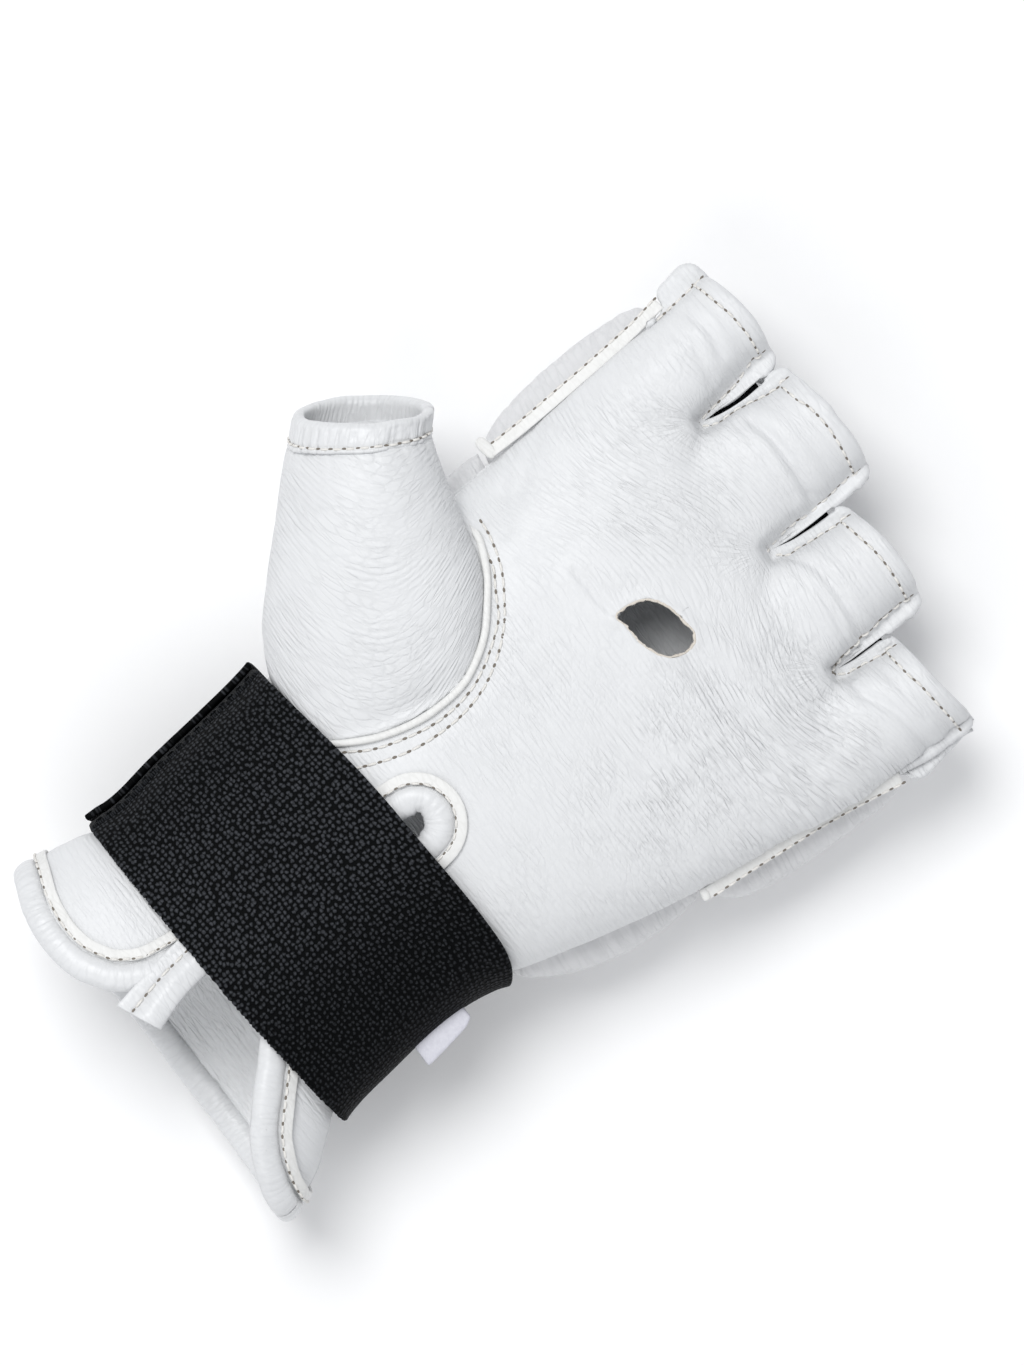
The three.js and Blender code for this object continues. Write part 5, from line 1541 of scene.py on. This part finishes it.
def pillow(centre, half, turn=0.0, curve=3.0, rows=16, columns=28):
    """A small rounded body with its own half sizes, turned about the vertical."""
    polar = np.pi * (np.arange(rows + 1) / rows - 0.5)
    angle = 2 * np.pi * np.arange(columns) / columns
    polar, angle = np.meshgrid(polar, angle, indexing="ij")
    ring = power(np.cos(polar), 2 / curve)
    body = np.stack([half[0] * ring * power(np.cos(angle), 2 / curve), half[1] * ring * power(np.sin(angle), 2 / curve),
                     half[2] * power(np.sin(polar), 2 / curve)], axis=-1)
    x = body[..., 0] * math.cos(turn) - body[..., 1] * math.sin(turn)
    y = body[..., 0] * math.sin(turn) + body[..., 1] * math.cos(turn)
    points = np.stack([x, y, body[..., 2]], axis=-1) + np.asarray(centre, float)
    return points.reshape(-1, 3), grid_faces(rows + 1, columns, closed=True)


def edge_tape(name, plan, seed, end_centre, end_half, end_turn):
    """A tape between the palm's edge and a pad's roll, with a folded end, and the stitch row along it."""
    plan = smooth_line(plan, spacing=0.5)
    outward = np.sign(plan[0, 0])
    count = len(plan)
    wave = 0.3 * (noise(np.arange(count) / 14.0, np.zeros(count), seed) - 0.5)
    line = np.column_stack([plan[:, 0], plan[:, 1], EDGE_TAPE_Z + wave])
    tilt = 0.32
    up = np.broadcast_to([outward * math.sin(tilt), 0, math.cos(tilt)], line.shape)
    _, side, up = frames_along(line, up)
    width = EDGE_TAPE_WIDTH + 0.3 * (noise(np.arange(count) / 9.0, np.ones(count), seed + 1) - 0.5)
    section = np.stack([flat_section(w, EDGE_TAPE_THICK) for w in width])
    parts = [sweep(line, side, up, section), pillow(end_centre, end_half, end_turn)]
    make_piece(f"{name}_leather", *join_parts(parts), "skived_leather_cream", [name])
    outer = -1 if side[0, 0] * outward < 0 else 1
    row = line + side * outer * (EDGE_TAPE_WIDTH / 2 - 0.35) + up * (EDGE_TAPE_THICK / 2 - 0.05)
    stitched(name, [(row[3:], up[3:])], seed=seed)


def build_edge_tapes():
    """The tapes on the index and little-finger sides of the palm."""
    edge_tape("index_edge_tape", INDEX_TAPE, 111, (-39.7, 12.2, 33.0), (2.6, 1.3, 1.0), 0.12)
    edge_tape("little_edge_tape", LITTLE_TAPE, 121, (58.3, -8.4, 33.0), (1.5, 0.9, 0.9), -0.2)


# Elastic strap and tabs

# Heights of the strap's two edges along Y at angles round the wrist, 0 on the little-finger side and 90 on the palm
STRAP_EDGES = np.array([
    (-180, -52.6, -97.2),
    (-90, -51.0, -96.0),
    (0, -51.0, -93.4),
    (45, -46.9, -94.0),
    (90, -47.3, -96.0),
    (135, -50.6, -97.0),
    (180, -52.8, -97.4),
])
STRAP_CLEAR, STRAP_THICK = 2.0, 1.4
STRAP_STRAIGHT_Y = -94.0  # below this the strap goes straight on, where the cuff under it flares
STRAP_MIDDLE = np.array([8.0, -72.0, SEAM_Z])


def strap_point(angle, share, offset):
    """A point of the strap at an angle round the wrist, a share of the way down it, and a height above the wrist."""
    edges = follow(STRAP_EDGES, angle)
    y = mix(edges[..., 0], edges[..., 1], share)
    radians = np.radians(angle)
    point = hand_point(np.maximum(y, STRAP_STRAIGHT_Y), np.cos(radians), np.sin(radians), offset)
    return np.stack([point[..., 0], y + 0 * point[..., 1], point[..., 2]], axis=-1)


def strap_sheet(first, last, size, margin=0.0):
    """Angles and shares of a grid over part of the strap."""
    return np.meshgrid(np.linspace(first, last, size[0]), np.linspace(-margin, 1 + margin, size[1]), indexing="ij")


def strap_piece(name, points, thickness, finish, replaces, roundness=0.5):
    """A woven piece of the strap from a grid of its outer points, with its place along and across the weave."""
    rows, columns = points.shape[:2]
    steps = [np.linalg.norm(np.diff(line, axis=0), axis=1) for line in (points[:, columns // 2], points[rows // 2])]
    along, across = np.meshgrid(*[np.concatenate([[0], np.cumsum(step)]) for step in steps], indexing="ij")
    faces, flat = grid_faces(rows, columns), points.reshape(-1, 3)
    if np.sum(vertex_normals(flat, faces) * (flat - STRAP_MIDDLE)) < 0:
        faces = faces[:, ::-1]
    solid, solid_faces, source = shell(flat, faces, thickness, roundness)
    place = np.stack([along.ravel(), across.ravel(), 0 * along.ravel()], axis=-1)[source]
    # painted highlight: the knots' glints are brightest between x -8 and 6 mm, where the strap's curve faces the light,
    # and dimmer towards both sides
    shine = 0.6 + 0.55 * ease(34, 6, solid[:, 0]) - 0.25 * ease(-8, -26, solid[:, 0])
    make_piece(name, solid, solid_faces, finish, replaces, weave_place=place, wrinkle=shine)


def strap_rows(name, angles, height, pitch, seed):
    """Stitch rows across the strap, in thread of its own colour."""
    shares = np.linspace(0.02, 0.98, 80)
    rows = []
    for angle in angles:
        line, out = (strap_point(np.full(80, angle), shares, np.full(80, height + k)) for k in (0.0, 1.0))
        rows.append((line, unit(out - line)))
    points, faces = stitches(rows, pitch, 0.8 * pitch, 0.4, seed=seed)
    make_piece(name, points, faces, "polyester_ribbon_black", weave_place=points[:, [1, 0, 2]])


def build_strap():
    """The wide elastic, stretched round the wrist. Its lower edge is scalloped by the weave."""
    angle, share = strap_sheet(171.5, -179.2, (560, 52))
    offset = STRAP_CLEAR + STRAP_THICK + 0.5 * (noise(angle / 22, share * 3, 131) - 0.5)
    points = strap_point(angle, share, offset)
    scallop = 0.32 * (noise(angle / 1.1, share * 0, 132) - 0.5) + 0.14 * np.sin(angle * 3.9)
    points[..., 1] += scallop * ease(0.975, 1.0, share) - 0.12 * scallop * ease(0.03, 0, share)
    strap_piece("strap_elastic", points, STRAP_THICK, "woven_elastic_black", ["elastic_strap"])


def build_strap_binding():
    """The ribbon folded over the strap's end on the thumb side, and its stitch row."""
    angle, share = strap_sheet(179.0, 166.5, (46, 60), -0.004)
    offset = STRAP_CLEAR + STRAP_THICK + 0.5 + 0.2 * (noise(angle / 4, share * 6, 141) - 0.5)
    strap_piece("strap_binding_ribbon", strap_point(angle, share, offset), 1.7, "polyester_ribbon_black",
                ["strap_binding"], 0.9)
    strap_rows("strap_binding_thread", [168.4], STRAP_CLEAR + STRAP_THICK + 0.5, 2.4, 13)


def build_strap_end():
    """The closed end of the strap, lying over its first turn on the back, with two rows of stitches."""
    angle, share = strap_sheet(-138, -179.4, (90, 52))
    offset = STRAP_CLEAR + 2 * STRAP_THICK + 0.9 + 0.5 * (noise(angle / 14, share * 3, 151) - 0.5)
    offset += 0.5 * ease(-144, -138.4, angle)
    strap_piece("strap_end_elastic", strap_point(angle, share, offset), STRAP_THICK, "woven_elastic_black",
                ["strap_end"])
    strap_rows("strap_end_thread", [-141.5, -149.0], STRAP_CLEAR + 2 * STRAP_THICK + 0.95, 2.6, 15)


def build_pull_tab():
    """The leather pull: a strip folded into a flat tube, sewn down one side, with an open lower end."""
    rows, around = 34, 72
    t = np.linspace(0, 1, rows)
    left = smooth_line([(-0.4, -92), (0.2, -97), (1.3, -105), (3.0, -114.2)], count=rows)
    right = smooth_line([(8.6, -92), (9.1, -96.5), (10.0, -103), (12.2, -110.2)], count=rows)
    angle = 2 * np.pi * (np.arange(around) + 0.5) / around
    centre = (left + right) / 2
    half = (right - left) / 2
    height = palm_height(np.full(rows, 3.0), centre[:, 1]) + 0.9 + 0.5 * ease(0.3, 1.0, t)
    # The sewn side is thin and flat, and the folded side is a round tube that opens at the end
    across = power(np.cos(angle), 2 / 3.0)
    swell = 0.42 + 0.85 * ease(-0.5, 0.25, across)
    rise = power(np.sin(angle), 2 / 2.2) * swell
    fold = 1 + 0.25 * t
    points = np.empty((rows, around, 3))
    points[..., :2] = centre[:, None] + half[:, None] * across[None, :, None]
    points[..., 2] = height[:, None] + 1.15 * rise[None] * fold[:, None]
    groove = hump(-0.34, 0.07, across)[None] * (np.sin(angle) > 0)[None]
    points[..., 2] -= 0.45 * groove
    points[..., 2] += 0.3 * (noise(points[..., 0] / 3, points[..., 1] / 5, 161) - 0.5)
    faces = grid_faces(rows, around, closed=True)
    flat = points.reshape(-1, 3)
    normals = vertex_normals(flat, faces)
    middle = points.mean(axis=1, keepdims=True)
    if np.sum(normals.reshape(points.shape) * (points - middle)) < 0:
        faces = faces[:, ::-1]
    solid, solid_faces, _ = shell(flat, faces, 0.38, 0.8)
    make_piece("pull_tab_leather", solid, solid_faces, "turned_leather_white", ["pull_tab"])
    row = mix(centre, left, 0.36)
    line = np.column_stack([row, height + 0.55])
    stitched("pull_tab", [(line[8:-1], np.broadcast_to([0.0, 0.0, 1.0], line[8:-1].shape))], pitch=3.4, seed=17)


def build_closure_tab():
    """The small woven tab, folded in two, that stands out of the strap on the little-finger side."""
    rows, columns = 26, 16
    inner = np.linspace((44.6, -61.2), (44.9, -73.0), rows)
    outer = smooth_line([(48.3, -61.2), (49.2, -62.8), (50.1, -68), (50.8, -73.2)], count=rows)
    u = np.linspace(0, 1, columns)[None, :, None]
    plan = mix(inner[:, None], outer[:, None], u)
    z = 35.0 + 0.25 * np.sin(np.linspace(0, 3.0, rows))[:, None] + 0.5 * np.linspace(0, 1, columns)[None] ** 2
    points = np.concatenate([plan, z[..., None]], axis=-1).reshape(-1, 3)
    faces = grid_faces(rows, columns)
    if vertex_normals(points, faces)[:, 2].sum() < 0:
        faces = faces[:, ::-1]
    solid, solid_faces, _ = shell(points, faces, 1.0, 0.9)
    make_piece("closure_tab_textile", solid, solid_faces, "woven_polyester_tab", ["closure_tab"])


# Floor, light and camera

VIEW_CENTRE = (0.00133, 0.01146)  # what the middle of the picture shows, in the frame
VIEW_TURN = math.radians(52)  # the photograph's right lies this far round from +X
VIEW_HEIGHT = 0.273  # height of the picture on the plane of the palm, in metres
PALM_PLANE = 0.045
SENSOR = 36.0


def build_floor(size, colour):
    """A wide pale sheet of studio paper."""
    material, tree, shader = new_material("studio_paper_white")
    tooth = add_node(tree, "ShaderNodeTexNoise", {
        "Vector": pattern_place(tree, (2.0, 2.0, 2.0)), "Scale": 1.0, "Detail": 4.0})
    relief = add_node(tree, "ShaderNodeBump", {"Height": tooth, "Strength": 0.1, "Distance": 0.1 / MM})
    tree.links.new(relief, shader["Normal"])
    shader["Base Color"].default_value = linear_colour(colour)
    shader["Roughness"].default_value = 0.9
    count = 24
    steps = np.linspace(-size / 2, size / 2, count)
    x, y = np.meshgrid(steps, steps)
    mesh = bpy.data.meshes.new("floor")
    faces = grid_faces(count, count)
    mesh.from_pydata(np.column_stack([x.ravel(), y.ravel(), np.full(x.size, -0.0004)]).tolist(), [], faces.tolist())
    mesh.materials.append(material)
    floor = bpy.data.objects.new("floor", mesh)
    bpy.context.scene.collection.objects.link(floor)
    floor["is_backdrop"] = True
    return floor


def area_light(name, place, target, size, power_watts, colour=(1.0, 1.0, 1.0)):
    """A soft light that looks at a point."""
    data = bpy.data.lights.new(name, "AREA")
    data.shape = "DISK"
    data.size = size
    data.energy = power_watts
    data.color = colour
    light = bpy.data.objects.new(name, data)
    light.location = place
    light.rotation_euler = (Vector(target) - Vector(place)).to_track_quat("-Z", "Y").to_euler()
    bpy.context.scene.collection.objects.link(light)
    return light


def build_camera(distance):
    """A camera straight above the palm, turned as the photograph is."""
    data = bpy.data.cameras.new("camera")
    data.sensor_width = SENSOR
    data.lens = SENSOR * (distance - PALM_PLANE) / VIEW_HEIGHT
    data.clip_start, data.clip_end = 0.05, 20
    camera = bpy.data.objects.new("camera", data)
    camera.location = (*VIEW_CENTRE, distance)
    camera.rotation_euler = (0, 0, VIEW_TURN)
    bpy.context.scene.collection.objects.link(camera)
    bpy.context.scene.camera = camera
    return camera


def build_stage(settings):
    """Floor, studio lights and camera."""
    build_floor(6.0, "#FFFFFF")
    world = bpy.data.worlds.new("studio")
    world.use_nodes = True
    world.node_tree.nodes["Background"].inputs[0].default_value = linear_colour("#F4F6FA")
    world.node_tree.nodes["Background"].inputs[1].default_value = settings.ambient
    bpy.context.scene.world = world
    middle = (0.0, 0.02, 0.03)
    area_light("key_softbox", (-0.62, 0.08, 1.5), middle, 0.8, settings.key_power)
    area_light("fill_softbox", (0.55, -0.8, 1.25), middle, 1.2, settings.key_power * 0.33)
    build_camera(1.5)
    bpy.context.scene.view_settings.view_transform = "Standard"


# Operators and panel


def build_pieces(*builders):
    """Runs the functions that build an operator's pieces."""
    for build in builders:
        build()
    return {"FINISHED"}


class GLOVE_OT_panels(bpy.types.Operator):
    """Builds the palm and back panels with their finger sleeves"""

    bl_idname = "glove.panels"
    bl_label = "Leather panels"

    def execute(self, context):
        return build_pieces(build_palm, build_hole_edge, build_back, build_little_side, build_slit_shadow_strips)


class GLOVE_OT_thumb(bpy.types.Operator):
    """Builds the thumb sleeve, its folded hem and the welt in its seam"""

    bl_idname = "glove.thumb"
    bl_label = "Thumb sleeve"

    def execute(self, context):
        return build_pieces(build_thumb, build_thumb_hem, build_thumb_welt)


class GLOVE_OT_pads(bpy.types.Operator):
    """Builds the foam pads over the knuckles and the back of the hand"""

    bl_idname = "glove.pads"
    bl_label = "Foam pads"

    def execute(self, context):
        return build_pieces(build_knuckle_pad, build_hand_pad)


class GLOVE_OT_cuff(bpy.types.Operator):
    """Builds the padded roll and the tape round the cuff, its flaps and its slit"""

    bl_idname = "glove.cuff"
    bl_label = "Cuff roll and tape"

    def execute(self, context):
        return build_pieces(build_cuff_roll, build_cuff_tape)


class GLOVE_OT_edge_tapes(bpy.types.Operator):
    """Builds the tapes between the palm and the rolls of the knuckle pad"""

    bl_idname = "glove.edge_tapes"
    bl_label = "Edge tapes"

    def execute(self, context):
        return build_pieces(build_edge_tapes)


class GLOVE_OT_strap(bpy.types.Operator):
    """Builds the elastic strap, its bound end and its closed end"""

    bl_idname = "glove.strap"
    bl_label = "Elastic strap"

    def execute(self, context):
        return build_pieces(build_strap, build_strap_binding, build_strap_end)


class GLOVE_OT_tabs(bpy.types.Operator):
    """Builds the leather pull below the strap and the small woven tab beside it"""

    bl_idname = "glove.tabs"
    bl_label = "Tabs"

    def execute(self, context):
        return build_pieces(build_pull_tab, build_closure_tab)


class GLOVE_OT_stitches(bpy.types.Operator):
    """Sews the finger sleeves, the thumb seam and the thumb's hem"""

    bl_idname = "glove.stitches"
    bl_label = "Stitches"

    def execute(self, context):
        return build_pieces(build_glove_stitches)


class GLOVE_OT_stage(bpy.types.Operator):
    """Sets the floor, the studio lights and the camera"""

    bl_idname = "glove.stage"
    bl_label = "Stage"
    bl_options = {"REGISTER"}

    def execute(self, context):
        build_stage(context.scene.glove_stage)
        return {"FINISHED"}


PIECE_OPERATORS = (
    GLOVE_OT_panels, GLOVE_OT_thumb, GLOVE_OT_pads, GLOVE_OT_cuff, GLOVE_OT_edge_tapes, GLOVE_OT_strap, GLOVE_OT_tabs,
    GLOVE_OT_stitches, GLOVE_OT_stage,
)
PROPERTY_GROUPS = {"glove_colours": GloveColours, "glove_sewing": GloveSewing, "glove_stage": GloveStage}


class GLOVE_PT_panel(bpy.types.Panel):
    """The glove's colours, sizes and pieces in the sidebar"""

    bl_idname = "GLOVE_PT_panel"
    bl_label = "Karate glove"
    bl_space_type = "VIEW_3D"
    bl_region_type = "UI"
    bl_category = "Glove"

    def draw(self, context):
        for name, group in PROPERTY_GROUPS.items():
            box = self.layout.box()
            for key in group.__annotations__:
                box.prop(getattr(context.scene, name), key)
        for operator in PIECE_OPERATORS:
            self.layout.operator(operator.bl_idname)


CLASSES = (*PROPERTY_GROUPS.values(), *PIECE_OPERATORS, GLOVE_PT_panel)


def register():
    """Adds the classes and their settings to Blender."""
    for made in CLASSES:
        bpy.utils.register_class(made)
    for name, group in PROPERTY_GROUPS.items():
        setattr(bpy.types.Scene, name, bpy.props.PointerProperty(type=group))


def unregister():
    """Takes them out again."""
    for name in PROPERTY_GROUPS:
        delattr(bpy.types.Scene, name)
    for made in reversed(CLASSES):
        bpy.utils.unregister_class(made)


def main():
    """Builds the whole glove and its stage."""
    register()
    for operator in PIECE_OPERATORS:
        group, name = operator.bl_idname.split(".")
        getattr(getattr(bpy.ops, group), name)()


if __name__ == "__main__":
    main()
